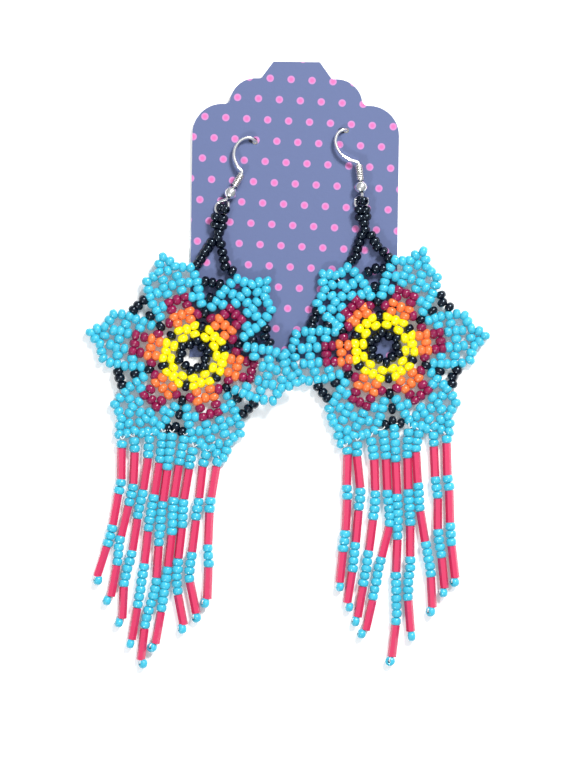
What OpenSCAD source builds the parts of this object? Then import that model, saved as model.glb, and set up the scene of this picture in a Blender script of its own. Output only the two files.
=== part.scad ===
/* [Beads] */
// Outer diameter of a round seed bead
bead_d = 2.1; // [1.8:0.1:2.2]
// Distance from one bead to the next along a string
bead_pitch = 1.65; // [1.5:0.05:1.7]
// Length of a bugle bead
bugle_length = 6.9; // [6:0.1:7.1]
// Outer diameter of a bugle bead
bugle_d = 1.8; // [1.5:0.1:1.9]

/* [Flowers] */
// Width of the gap left between two neighbouring pieces
piece_gap = 0.12; // [0.08:0.02:0.2]
// Radius of the open eye in the middle of a flower
eye_r = 1.65; // [1.2:0.05:1.9]
// Outer radius of the ring of beads round the eye
ring_r = 4.05; // [3.8:0.05:4.2]
// Height of a flower's underside above the table at its centre
flower_lift = 0.62; // [0.58:0.02:0.8]

/* [Ear wires] */
// Diameter of the ear wire
wire_d = 0.7; // [0.5:0.05:0.75]
// Outer diameter of the coil on the ear wire
coil_d = 1.75; // [1.7:0.05:1.9]
// Distance from one turn of the coil to the next
coil_pitch = 0.46; // [0.44:0.01:0.46]
// Diameter of the round bead on the ear wire
ball_d = 2.8; // [2.5:0.05:2.9]

/* [Card] */
// Width of the card
card_width = 45.4; // [44:0.1:47]
// Height of the card at the shoulders, up to its first step
card_shoulder = 55.7; // [54:0.1:57]
// Width of the second step of the card
card_step_width = 29.2; // [27:0.1:31]
// Height of the second step above the bottom edge
card_step = 61.4; // [60:0.1:63]
// Whole height of the card
card_height = 65.1; // [64:0.1:67]
// Thickness of the card
card_thick = 0.4; // [0.3:0.05:0.45]
// Lean of the card on the ear wires' tails
card_tilt = 1.25; // [1.2:0.05:1.4]

/* [Hidden] */

SILVER = [0.80, 0.80, 0.82];
JET = [0.05, 0.06, 0.10];
TURQUOISE = [0.20, 0.78, 0.92];
ORANGE = [1.00, 0.50, 0.22];
CORAL = [0.92, 0.22, 0.42];
CARD_BLUE = [0.44, 0.49, 0.67];

bead_r = bead_d / 2;
bugle_r = bugle_d / 2;
wire_r = wire_d / 2;
tube_sides = 8;
// Facets round a large edge, and round a bore or the fine wire
large_fn = 64;
bore_fn = 32;
wire_fn = 16;
// How far a cutting shape runs past the faces that it cuts
cut = 1;

// The card: where its bottom edge lies, its turn on the table, and the two holes that the wires pass
card_at = [1.0, 1.45, 0];
card_turn = -0.8;
card_shoulder_r = 6.6;
card_step_r = 5.7;
card_top_width = 10.15;
card_top_foot = 15.55;
card_top_r = 0.5;
card_holes = [[-8.86, 47.41], [11.09, 50.19]];
card_hole_r = 0.58;
// Radius of the hollow corners where one step of the card meets the next
card_hollow_r = 1.1;
card_top_hollow_r = 0.8;
arc_steps = 12;

// Each petal's heading counter-clockwise from +X, how far it is stretched or squeezed,
// how far it is lifted from the flower's own plane, and how far the corner bead
// on its left and on its right is pulled in by the fringe
P_HEADING = 0;
P_STRETCH = 1;
P_LIFT = 2;
P_TUCKS = 3;
LEFT_PETALS = [
    [107.9, 0.1, 0, [0, 0]],
    [45.4, 0.2, 0, [0, 0]],
    [-13.9, 0.2, 7.6, [0, 0]],
    [-73.1, 0.4, 0, [0, 1]],
    [-133.7, 0.7, 0, [1, 0]],
    [167.5, 0.5, -1.0, [0, 0]]
];
RIGHT_PETALS = [
    [131.0, -1.7, 0, [0, 0]],
    [68.2, -0.3, 0, [0, 0]],
    [6.4, -0.2, -1.0, [0, 0]],
    [-51.6, 0.5, 0, [0, 1]],
    [-114.2, 0.4, 0, [0.8, 0.8]],
    [-173.7, 0.1, 0, [0, 0]]
];

// A flower: its centre on the table and its petals
F_AT = 0;
F_PETALS = 1;
LEFT = [[-20.75, 2.0], LEFT_PETALS];
RIGHT = [[21.15, 3.9], RIGHT_PETALS];

// Half of a petal's edge from its tip round to its notch, along and across its midline
PETAL_EDGE = [
    [23.8, 0], [23.8, 0.85], [22.5, 2.1], [21.1, 2.8], [20.3, 3.4], [19.9, 4.6], [19.3, 5.7],
    [18.2, 6.2], [15.2, 6.3], [12.1, 5.9], [11.0, 5.4], [9.7, 4.7], [9.7, 3.8], [11.3, 3.8],
    [11.3, 2.8], [13.35, 2.8], [13.35, 3.95], [14.5, 4.1], [14.5, 2.8], [13.75, 2.7],
    [13.75, 0.6], [15.35, 0.65], [15.35, 0]
];
// The closed cells of the net in a petal: from, to, inner side and outer side
PETAL_CELLS = [[17.4, 18.7, -0.65, 0.65], [16.7, 18.2, 2.8, 4.25], [16.7, 18.2, -4.25, -2.8]];
// Half of the flower centre's edge, from a petal's midline to the spoke beside it
CENTRE_EDGE = [[13.6, 2.65], [9.5, 2.65], [9.3, 3.6], [9.35, 4.6]];
// The closed cell in each sector of the flower's centre
CENTRE_CELL = [10.4, 11.5, 0.55];
stretch_from = 14.6;
stretch_over = 4;
corner_points = [5, 6, 7];
corner_tuck = [-0.5, -0.9];

// The short strings between two petals: a bead near the flower's centre, and three beads further out,
// each with the radius and angle of the petals' shoulders that it lies between
spoke_bead = [13.3, 14.7];
spoke_shoulder = [13.4, 26.1];
link_r = 15.55;
link_depth = 1.6;
link_gap = 1.5 * piece_gap;
link_shoulder = [15.6, 23.0];

// Each strand: its top bead, how slack or tight it is strung, the leans of its runs and bugles from
// straight down, and how much of its top bead is left out where it tucks in beside a petal
S_X = 0;
S_Y = 1;
S_SLACK = 2;
S_LEANS = 3;
S_TUCK = 4;
LEFT_STRANDS = [
    [-36.4, -17.35, 1.00, [-4.5, -0.5, -11.5, -10.0, -16.5, -18.0], 0],
    [-33.8, -16.75, 0.995, [2.0, -2.5, -13.0, -13.5, -8.5, -10.5], 0.3],
    [-30.45, -16.35, 1.005, [-4.0, -8.5, -11.5, -9.0, -13.0, -3.0], 0],
    [-27.6, -15.7, 1.01, [-6.5, -9.0, -10.0, -6.5, -9.0, -10.0], 0],
    [-25.35, -15.75, 0.995, [-7.5, -8.0, -5.0, -4.0, -13.5, -7.0], 0],
    [-22.55, -16.3, 1.015, [-11.5, -8.5, -4.0, -6.5, -8.5, -10.0], 0],
    [-20.65, -18.95, 0.97, [-12.0, -9.5, -3.5, -6.5, -0.5, 11.0], 0],
    [-17.75, -19.9, 1.01, [-18.0, -6.5, -8.0, -7.0, -3.5, 11.5], 0.7],
    [-15.2, -21.4, 1.01, [-20.0, -9.5, -6.0, -2.5, 1.5, -2.0], 1.0]
];
RIGHT_STRANDS = [
    [12.8, -18.85, 0.975, [9.0, -1.5, 1.0, -3.0, -7.5, -6.0], 0.7],
    [15.2, -17.6, 1.005, [-1.0, 6.0, -5.0, -5.0, -7.0, -9.0], 0.8],
    [18.1, -16.85, 0.98, [9.5, 2.0, -4.5, -7.5, -9.5, -10.0], 0],
    [20.6, -15.1, 0.98, [6.5, 2.5, 2.5, -14.0, -11.5, -13.0], 0],
    [23.5, -13.8, 1.015, [2.5, 2.5, 0.5, -2.5, -0.5, -7.0], 0.8],
    [26.5, -14.85, 0.98, [-3.0, 1.5, 3.5, 0.0, -3.0, 4.5], 0],
    [29.0, -15.25, 0.965, [-8.5, 3.5, 4.5, 9.0, 9.5, 3.0], 0],
    [31.95, -15.5, 0.97, [1.5, 2.5, 7.0, 0.0, 7.5, 5.5], 0.7],
    [34.75, -16.25, 1.02, [3.5, 1.5, 7.0, 1.5, 3.5, 6.5], 0.7]
];
strand_end_r = 0.85;
strand_end_length = 2.1;
// The strand in the middle of a fringe, whose first run has as many beads as its number
middle_strand = 5;
// Where a run of beads stops short of its bugle, and a bugle of the next run, so that the step shows
run_share = 0.995;
bugle_short = 0.01;
// Sections along a run, and along one of fewer than three beads
run_steps = 3;
short_run_steps = 1;

// The ear wires, from the tail behind the card, through its hole, over the bend,
// through the coil and the ball, and round the small loop
LEFT_WIRE = [
    [-4.6, 38.0, 0.36], [-5.3, 42.0, 0.36], [-6.2, 45.8, 0.36], [-6.95, 48.3, 0.42],
    [-7.15, 48.85, 0.85], [-7.2, 48.98, 1.35], [-7.35, 49.2, 1.85], [-7.8, 49.6, 2.25],
    [-8.7, 49.85, 2.5], [-9.9, 49.5, 2.6], [-10.9, 48.7, 2.7], [-11.6, 47.5, 2.75],
    [-11.85, 46.1, 2.75], [-11.6, 44.8, 2.75], [-11.1, 43.75, 2.75], [-10.5, 42.95, 2.75],
    [-10.1, 42.4, 2.75], [-10.2, 41.75, 2.75], [-10.99, 40.44, 2.75], [-11.775, 39.125, 2.75],
    [-13.35, 36.5, 2.75], [-14.2, 36.05, 2.4], [-15.3, 35.6, 1.8], [-15.9, 34.5, 1.55],
    [-15.5, 33.3, 1.55], [-14.6, 32.9, 1.55], [-13.6, 33.3, 1.55], [-13.1, 34.6, 1.55],
    [-13.1, 35.7, 1.55]
];
RIGHT_WIRE = [
    [12.9, 38.6, 0.36], [12.9, 43.0, 0.36], [12.9, 47.6, 0.36], [12.85, 50.7, 0.42],
    [12.8, 51.3, 0.85], [12.78, 51.45, 1.35], [12.65, 51.6, 1.9], [12.2, 51.6, 2.3],
    [11.5, 51.3, 2.5], [10.8, 50.6, 2.6], [10.45, 49.6, 2.7], [10.45, 48.6, 2.75],
    [10.8, 47.5, 2.75], [11.5, 46.4, 2.75], [12.5, 45.6, 2.75], [13.7, 44.95, 2.75],
    [14.6, 44.65, 2.75], [15.25, 44.4, 2.75], [15.5, 43.9, 2.75], [15.69, 42.2, 2.75],
    [15.88, 40.5, 2.75], [16.25, 37.2, 2.75], [15.6, 36.9, 2.2], [14.85, 36.3, 1.7],
    [14.75, 35.4, 1.55], [15.2, 34.7, 1.55], [16.0, 34.5, 1.55], [16.9, 34.8, 1.55],
    [17.45, 35.6, 1.55], [17.4, 36.5, 1.55]
];
wire_steps = 3;
coil_wire_r = 0.21;
bore_gap = 0.1;

// The straight part of each wire, how far along it the coil's middle and the ball's middle lie,
// and the number of turns in each coil
LEFT_AXIS = [LEFT_WIRE[17], LEFT_WIRE[20]];
RIGHT_AXIS = [RIGHT_WIRE[18], RIGHT_WIRE[21]];
LEFT_PLACES = [1.35, 4.66];
RIGHT_PLACES = [1.6, 4.95];
LEFT_TURNS = 7;
RIGHT_TURNS = 8;

// The string that hangs each flower: two columns and a stem, two legs,
// and the pair of beads in the wire's loop
H_COLUMNS = 0;
H_STEM = 1;
H_LEGS = 2;
H_PAIR = 3;
LEFT_HANGER = [
    [[[-16.0, 32.2], [-16.1, 29.6]], [[-14.5, 32.1], [-14.8, 29.5]]],
    [[-15.3, 29.9], [-15.6, 27.6]],
    [
        [[-15.9, 28.0], [-17.0, 27.1], [-17.9, 25.6], [-18.9, 23.9], [-19.9, 22.3]],
        [[-15.0, 27.6], [-14.6, 26.3], [-14.4, 24.8], [-13.9, 22.6], [-12.7, 20.6]]
    ],
    [[-15.4, 34.4], [-13.3, 33.9]]
];
RIGHT_HANGER = [
    [[[15.6, 33.7], [15.8, 31.7]], [[17.1, 33.7], [17.2, 31.8]]],
    [[16.6, 32.1], [16.8, 29.4]],
    [
        [[16.5, 29.9], [15.9, 28.4], [15.4, 26.3], [15.1, 24.2], [14.2, 22.8]],
        [[17.1, 29.6], [18.1, 28.4], [19.3, 26.4], [20.7, 25.1], [22.1, 23.5]]
    ],
    [[15.6, 35.4], [17.3, 35.2]]
];
hanger_r = 1.0;
pair_r = 0.95;
pair_z = 3.05;
leg_steps = 2;

function unit(v) = v / norm(v);
function flat(v, z) = [v[0], v[1], z];
function turned(v, a) = [v[0] * cos(a) - v[1] * sin(a), v[0] * sin(a) + v[1] * cos(a)];

// A point on the card's face above the table, and where a bead that lies on it has its middle
function card_face(y) = card_thick + (y - card_at[1]) * tan(card_tilt);
function on_card(v) = flat(v, card_face(v[1]) + hanger_r + piece_gap);

// Catmull-Rom between points 1 and 2 of four, and a whole route of them
function spline(p0, p1, p2, p3, f) =
    0.5 * (2 * p1 + f * (p2 - p0) + f * f * (2 * p0 - 5 * p1 + 4 * p2 - p3)
        + f * f * f * (3 * p1 - p0 - 3 * p2 + p3));
function smooth(p, steps) = concat(
    [for (i = [0:len(p) - 2], s = [0:steps - 1])
        spline(p[max(i - 1, 0)], p[i], p[i + 1], p[min(i + 2, len(p) - 1)], s / steps)],
    [p[len(p) - 1]]
);

// Directions along a route, and side directions carried along it without twist
function directions(p) = [
    for (i = [0:len(p) - 1]) unit(p[min(i + 1, len(p) - 1)] - p[max(i - 1, 0)])
];
function carried(d, n, i = 0) = i == len(d) ? [] :
    let (m = unit(n - (n * d[i]) * d[i])) concat([m], carried(d, m, i + 1));

// Hermite curve from a to b that leaves along u and arrives along v
function eased(a, b, u, v, f) =
    let (l = norm(b - a), g = f * f, h = g * f)
    (2 * h - 3 * g + 1) * a + (h - 2 * g + f) * l * u + (3 * g - 2 * h) * b + (h - g) * l * v;

// A round rod of changing thickness along a route
module rod(route, radii, side_hint = [0, 0, 1]) {
    along = directions(route);
    side = carried(along, side_hint);
    count = len(route);
    points = [
        for (i = [0:count - 1], k = [0:tube_sides - 1])
            let (a = k * 360 / tube_sides)
            route[i] + radii[i] * (cos(a) * side[i] + sin(a) * cross(along[i], side[i]))
    ];
    walls = [
        for (i = [0:count - 2], k = [0:tube_sides - 1])
            let (a = i * tube_sides + k, b = i * tube_sides + (k + 1) % tube_sides)
            each [[a, a + tube_sides, b], [b, a + tube_sides, b + tube_sides]]
    ];
    start_cap = [for (k = [0:tube_sides - 1]) k];
    end_cap = [for (k = [0:tube_sides - 1]) count * tube_sides - 1 - k];
    polyhedron(points, concat(walls, [start_cap, end_cap]));
}

module even_rod(route, r) {
    rod(route, [for (p = route) r]);
}

// Places a flower's pieces in its own leaning plane
module in_flower(flower) {
    translate(flat(flower[F_AT], flower_lift)) rotate([card_tilt, 0, 0]) children();
}

// How far along its midline a point of a stretched or squeezed petal lies
function stretched(u, stretch) =
    u + stretch * min(1, max(0, (u - stretch_from) / stretch_over));

// One half of a petal's edge, its corner bead pulled in by the tuck
function petal_half(stretch, tuck) = [
    for (i = [0:len(PETAL_EDGE) - 1])
        let (p = PETAL_EDGE[i], pull = len(search(i, corner_points)) > 0 ? tuck : 0)
        [stretched(p[0], stretch) + pull * corner_tuck[0], p[1] + pull * corner_tuck[1]]
];

module petal_outline(stretch, tucks) {
    left = petal_half(stretch, tucks[0]);
    right = petal_half(stretch, tucks[1]);
    back = [for (i = [len(right) - 2:-1:1]) [right[i][0], -right[i][1]]];
    difference() {
        polygon(concat(left, back));
        for (cell = PETAL_CELLS) {
            from = stretched(cell[0], stretch);
            to = stretched(cell[1], stretch);
            translate([from, cell[2]]) square([to - from, cell[3] - cell[2]]);
        }
    }
}

// One petal: its net of turquoise beads, as thick as a bead, cut through at its open cells
module petal(flower, n) {
    p = flower[F_PETALS][n - 1];
    color(TURQUOISE)
        in_flower(flower)
            rotate([0, 0, p[P_HEADING]])
                translate([bead_d * sin(max(0, p[P_LIFT])), 0, 0])
                    rotate([0, -p[P_LIFT], 0])
                        linear_extrude(bead_d) petal_outline(p[P_STRETCH], p[P_TUCKS]);
}

// The yellow, orange and dark red rounds and the black spokes, open at one cell in each sector
module flower_centre(flower) {
    edge = [
        for (p = flower[F_PETALS])
            each concat(
                [for (i = [len(CENTRE_EDGE) - 1:-1:0])
                    turned([CENTRE_EDGE[i][0], -CENTRE_EDGE[i][1]], p[P_HEADING])],
                [for (q = CENTRE_EDGE) turned(q, p[P_HEADING])]
            )
    ];
    per_petal = 2 * len(CENTRE_EDGE);
    around = [
        for (i = [len(flower[F_PETALS]) - 1:-1:0], k = [0:per_petal - 1]) edge[i * per_petal + k]
    ];
    color(ORANGE)
        in_flower(flower)
            difference() {
                linear_extrude(bead_d) polygon(around);
                translate([0, 0, -cut])
                    cylinder(h = bead_d + 2 * cut, r = ring_r + piece_gap, $fn = large_fn);
                for (p = flower[F_PETALS])
                    rotate([0, 0, p[P_HEADING]])
                        translate([CENTRE_CELL[0], -CENTRE_CELL[2], -cut])
                            cube([
                                CENTRE_CELL[1] - CENTRE_CELL[0], 2 * CENTRE_CELL[2], bead_d + 2 * cut
                            ]);
            }
}

// The twelve black beads round the flower's eye
module centre_ring(flower) {
    color(JET)
        in_flower(flower)
            difference() {
                cylinder(h = bead_d, r = ring_r, $fn = large_fn);
                translate([0, 0, -cut]) cylinder(h = bead_d + 2 * cut, r = eye_r, $fn = large_fn);
            }
}

// The black beads that tie neighbouring petals: one by the flower's centre and three further out
module petal_links(flower) {
    count = len(flower[F_PETALS]);
    color(JET)
        in_flower(flower)
            for (i = [0:count - 1]) {
                p = flower[F_PETALS][i];
                q = flower[F_PETALS][(i + 1) % count];
                sector = (p[P_HEADING] - q[P_HEADING] + 720) % 360;
                middle = q[P_HEADING] + sector / 2;
                room = link_shoulder[0] * sin(sector / 2 - link_shoulder[1]) - link_gap;
                spoke_half = spoke_shoulder[0] * sin(sector / 2 - spoke_shoulder[1]) - link_gap;
                rise_p = link_r * tan(p[P_LIFT]);
                rise_q = link_r * tan(q[P_LIFT]);
                slope = atan((rise_p - rise_q) / (2 * room + bead_d));
                half = room - bead_r * abs(sin(slope));
                rotate([0, 0, middle]) {
                    translate([spoke_bead[0], -spoke_half, max(rise_p, rise_q, 0) / 3])
                        cube([spoke_bead[1] - spoke_bead[0], 2 * spoke_half, bead_d]);
                    translate([link_r, 0, (rise_p + rise_q) / 2 + bead_r])
                        rotate([slope, 0, 0])
                            translate([0, -half, -bead_r]) cube([link_depth, 2 * half, bead_d]);
                }
            }
}

// A step down a strand that leans so many degrees from straight down
function step_down(lean, length) = length * [sin(lean), -cos(lean), 0];

// A strand's table row turned into places along it: the ends of every run and bugle
function strand_joints(row, counts, i = 0, at = undef) =
    let (here = is_undef(at) ? [row[S_X], row[S_Y] + bead_pitch / 2, bead_r] : at)
    i == 6 ? [here] :
    let (length = row[S_SLACK] * (i % 2 == 0 ? counts[i / 2] * bead_pitch : bugle_length))
    concat([here], strand_joints(row, counts, i + 1, here + step_down(row[S_LEANS][i], length)));

function run_sections(beads) = beads < 3 ? short_run_steps : run_steps;

// One fringe strand, lying on the table: three runs of beads, each with its bugle, and a last bead
module strand(rows, n) {
    row = rows[n - 1];
    leans = row[S_LEANS];
    first = middle_strand - abs(n - middle_strand);
    counts = [first, first + 1, first + 2];
    joints = strand_joints(row, counts);
    tip = joints[6] + step_down(leans[5], strand_end_length);
    route = concat(
        [for (run = [0:2])
            let (a = joints[2 * run], b = joints[2 * run + 1])
            let (enter = step_down(run == 0 ? leans[0] : leans[2 * run - 1], 1))
            let (leave = step_down(leans[2 * run + 1], 1))
            let (steps = run_sections(counts[run]))
            let (tuck = run == 0 ? row[S_TUCK] / norm(b - a) : 0)
            each concat(
                [for (s = [0:steps])
                    eased(a, b, enter, leave, tuck + s / steps * (run_share - tuck))],
                [b, joints[2 * run + 2] - bugle_short * leave]
            )],
        [joints[6], tip]
    );
    radii = concat(
        [for (run = [0:2])
            each concat([for (s = [0:run_sections(counts[run])]) bead_r], [bugle_r, bugle_r])],
        [strand_end_r, strand_end_r]
    );
    color(CORAL) rod(route, radii);
}

module ear_wire(points) {
    color(SILVER) even_rod(smooth(points, wire_steps), wire_r);
}

// Turns a piece made along +Z onto the straight part of the wire
module on_wire(axis, along) {
    d = unit(axis[1] - axis[0]);
    translate(axis[0] + along * d) rotate([0, 0, atan2(d[1], d[0])]) rotate([0, 90, 0]) children();
}

// The close coil of fine wire, made as rings side by side round the ear wire
module wire_coil(axis, along, turns) {
    coil_length = turns * coil_pitch;
    inner = wire_r + bore_gap;
    outer = coil_d / 2;
    color(SILVER)
        on_wire(axis, along)
            difference() {
                union() {
                    cylinder(
                        h = coil_length - coil_pitch, r = outer - coil_wire_r / 2,
                        center = true, $fn = bore_fn
                    );
                    for (i = [0:turns - 1])
                        translate([0, 0, (i + 0.5) * coil_pitch - coil_length / 2])
                            rotate_extrude($fn = bore_fn)
                                translate([outer - coil_wire_r, 0])
                                    circle(r = coil_wire_r, $fn = wire_fn);
                }
                cylinder(h = coil_length + 2 * cut, r = inner, center = true, $fn = bore_fn);
            }
}

// The round metal bead that the wire passes
module ball_bead(axis, along) {
    color(SILVER)
        on_wire(axis, along)
            difference() {
                sphere(d = ball_d, $fn = large_fn);
                cylinder(h = ball_d + 2 * cut, r = wire_r + bore_gap, center = true, $fn = bore_fn);
            }
}

// The black string that ties the flower to the ear wire
module hanger(spec) {
    color(JET) {
        for (column = spec[H_COLUMNS])
            even_rod([for (p = column) on_card(p)], hanger_r);
        even_rod([for (p = spec[H_STEM]) on_card(p)], hanger_r);
        for (leg = spec[H_LEGS])
            even_rod(smooth([for (p = leg) on_card(p)], leg_steps), hanger_r);
        even_rod([for (p = spec[H_PAIR]) flat(p, pair_z)], pair_r);
    }
}

// Points along an arc from one angle to another
function arc(centre, r, from, to) = [
    for (i = [0:arc_steps])
        let (a = from + (to - from) * i / arc_steps)
        centre + r * [cos(a), sin(a)]
];

// The right half of the card's edge, from its bottom corner over the shoulder, the narrower step
// and the tapered side to its top
function card_edge() =
    let (side = card_width / 2, step = card_step_width / 2, foot = card_top_foot / 2)
    let (top = card_top_width / 2, lean = atan((foot - top) / (card_height - card_step)))
    let (reach = (1 - sin(lean)) / cos(lean))
    concat(
        [[side, 0]],
        arc([side - card_shoulder_r, card_shoulder - card_shoulder_r], card_shoulder_r, 0, 90),
        arc([step + card_hollow_r, card_shoulder + card_hollow_r], card_hollow_r, 270, 180),
        arc([step - card_step_r, card_step - card_step_r], card_step_r, 0, 90),
        arc(
            [foot + reach * card_top_hollow_r, card_step + card_top_hollow_r],
            card_top_hollow_r, 270, 180 + lean
        ),
        arc([top - reach * card_top_r, card_height - card_top_r], card_top_r, lean, 90)
    );

module card_outline() {
    edge = card_edge();
    polygon(concat(edge, [for (i = [len(edge) - 1:-1:0]) [-edge[i][0], edge[i][1]]]));
}

// The card that both earrings hang through, with its stepped top and two wire holes
module display_card() {
    color(CARD_BLUE)
        translate(card_at)
            rotate([card_tilt, 0, card_turn])
                difference() {
                    linear_extrude(card_thick) card_outline();
                    for (hole = card_holes)
                        translate([hole[0], hole[1], -cut])
                            cylinder(h = card_thick + 2 * cut, r = card_hole_r, $fn = bore_fn);
                }
}

display_card();
ear_wire(LEFT_WIRE);  // left_ear_wire
wire_coil(LEFT_AXIS, LEFT_PLACES[0], LEFT_TURNS);  // left_wire_coil
ball_bead(LEFT_AXIS, LEFT_PLACES[1]);  // left_ball_bead
hanger(LEFT_HANGER);  // left_hanger
centre_ring(LEFT);  // left_centre_ring
flower_centre(LEFT);  // left_flower_centre
petal_links(LEFT);  // left_petal_links
petal(LEFT, 1);  // left_petal_1
petal(LEFT, 2);  // left_petal_2
petal(LEFT, 3);  // left_petal_3
petal(LEFT, 4);  // left_petal_4
petal(LEFT, 5);  // left_petal_5
petal(LEFT, 6);  // left_petal_6
strand(LEFT_STRANDS, 1);  // left_strand_1
strand(LEFT_STRANDS, 2);  // left_strand_2
strand(LEFT_STRANDS, 3);  // left_strand_3
strand(LEFT_STRANDS, 4);  // left_strand_4
strand(LEFT_STRANDS, 5);  // left_strand_5
strand(LEFT_STRANDS, 6);  // left_strand_6
strand(LEFT_STRANDS, 7);  // left_strand_7
strand(LEFT_STRANDS, 8);  // left_strand_8
strand(LEFT_STRANDS, 9);  // left_strand_9
ear_wire(RIGHT_WIRE);  // right_ear_wire
wire_coil(RIGHT_AXIS, RIGHT_PLACES[0], RIGHT_TURNS);  // right_wire_coil
ball_bead(RIGHT_AXIS, RIGHT_PLACES[1]);  // right_ball_bead
hanger(RIGHT_HANGER);  // right_hanger
centre_ring(RIGHT);  // right_centre_ring
flower_centre(RIGHT);  // right_flower_centre
petal_links(RIGHT);  // right_petal_links
petal(RIGHT, 1);  // right_petal_1
petal(RIGHT, 2);  // right_petal_2
petal(RIGHT, 3);  // right_petal_3
petal(RIGHT, 4);  // right_petal_4
petal(RIGHT, 5);  // right_petal_5
petal(RIGHT, 6);  // right_petal_6
strand(RIGHT_STRANDS, 1);  // right_strand_1
strand(RIGHT_STRANDS, 2);  // right_strand_2
strand(RIGHT_STRANDS, 3);  // right_strand_3
strand(RIGHT_STRANDS, 4);  // right_strand_4
strand(RIGHT_STRANDS, 5);  // right_strand_5
strand(RIGHT_STRANDS, 6);  // right_strand_6
strand(RIGHT_STRANDS, 7);  // right_strand_7
strand(RIGHT_STRANDS, 8);  // right_strand_8
strand(RIGHT_STRANDS, 9);  // right_strand_9
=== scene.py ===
"""A pair of netted bead flower earrings lying on their display card."""

import math
from collections import namedtuple

import bpy
from mathutils import Matrix, Vector


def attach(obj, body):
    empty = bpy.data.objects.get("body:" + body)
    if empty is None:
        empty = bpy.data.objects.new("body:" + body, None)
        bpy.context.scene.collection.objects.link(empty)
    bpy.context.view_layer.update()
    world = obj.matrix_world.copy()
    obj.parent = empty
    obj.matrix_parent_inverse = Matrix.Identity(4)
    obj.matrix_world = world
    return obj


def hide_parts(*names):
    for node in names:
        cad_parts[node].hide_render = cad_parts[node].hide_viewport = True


bl_info = {
    "name": "Netted Flower Earrings",
    "version": (1, 0, 0),
    "blender": (4, 5, 0),
    "location": "View3D > Sidebar > Earrings",
    "description": "Dresses a pair of netted bead flower earrings and the card that they hang through",
    "category": "Add Mesh",
}

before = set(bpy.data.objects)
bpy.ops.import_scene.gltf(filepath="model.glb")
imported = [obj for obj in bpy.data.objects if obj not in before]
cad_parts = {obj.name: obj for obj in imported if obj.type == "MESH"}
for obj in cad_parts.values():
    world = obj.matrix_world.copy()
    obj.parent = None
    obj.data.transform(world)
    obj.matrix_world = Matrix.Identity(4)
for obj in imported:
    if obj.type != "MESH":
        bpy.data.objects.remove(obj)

MM = 0.001
SIDES = ("left", "right")

# The glazes, in the order in which the bead trees count them
GLAZES = ("jet", "turquoise", "yellow", "orange", "burgundy", "coral")

# The net from the flower's centre to a petal's tip, in millimetres: name, glaze, distance along the
# petal's midline, distance to each side of it, and the lean of the bead's bore from the midline
NET = (
    ("y1", "yellow", 4.65, 1.40, 0),
    ("y2", "yellow", 6.25, 0.0, 90),
    ("y3", "yellow", 6.45, 1.85, 0),
    ("o1", "orange", 8.0, 1.55, 0),
    ("o2", "orange", 9.55, 0.0, 90),
    ("o3", "orange", 9.75, 1.90, 0),
    ("b0", "burgundy", 8.70, 3.30, 75),
    ("b1", "burgundy", 11.30, 1.75, 0),
    ("b2", "burgundy", 12.80, 0.0, 90),
    ("b3", "burgundy", 12.95, 1.80, 0),
    ("c1", "turquoise", 14.65, 1.65, 0),
    ("c2", "turquoise", 16.40, 1.90, 0),
    ("c3", "turquoise", 17.95, 1.65, 0),
    ("c4", "turquoise", 20.00, 1.95, 0),
    ("m1", "turquoise", 16.30, 0.0, 90),
    ("m2", "turquoise", 19.60, 0.0, 90),
    ("t1", "turquoise", 21.45, 1.15, -32),
    ("t2", "turquoise", 22.80, 0.0, 90),
    ("e1", "turquoise", 10.45, 4.80, 8),
    ("e2", "turquoise", 12.10, 5.05, 8),
    ("e3", "turquoise", 13.70, 5.30, 8),
    ("e4", "turquoise", 15.25, 5.40, 4),
    ("e5", "turquoise", 17.00, 5.40, -5),
    ("e6", "turquoise", 18.75, 5.00, -38),
    ("e7", "turquoise", 19.30, 3.45, -70),
    ("s1", "turquoise", 12.55, 3.40, -75),
    ("s2", "turquoise", 15.65, 3.55, -71),
)
# How the thread runs through one half of a petal
THREADS = (
    ("b3", "c1", "c2", "c3", "c4", "t1", "t2"),
    ("e1", "e2", "e3", "e4", "e5", "e6", "e7", "c4"),
    ("e2", "s1", "b3"),
    ("e4", "s2", "c2"),
    ("c2", "m1"),
    ("c4", "m2"),
    ("y3", "o1", "o3", "b1", "b3"),
    ("o1", "b0"),
)
# The black beads on the spoke between two petals: radii of the two at the flower's centre, and of
# the one that joins the petals' inner corners; then the radius of the bridge of three beads between
# their sides, and the distance from one of them to the next
SPOKE_RADII = (6.82, 10.0)
NOTCH_RADIUS = 13.3
BRIDGE_RADIUS = 16.75
BRIDGE_STEP = 1.6
# The ring round the eye: radius on the petals' midlines and between them
RING_RADII = (2.75, 3.35)

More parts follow.
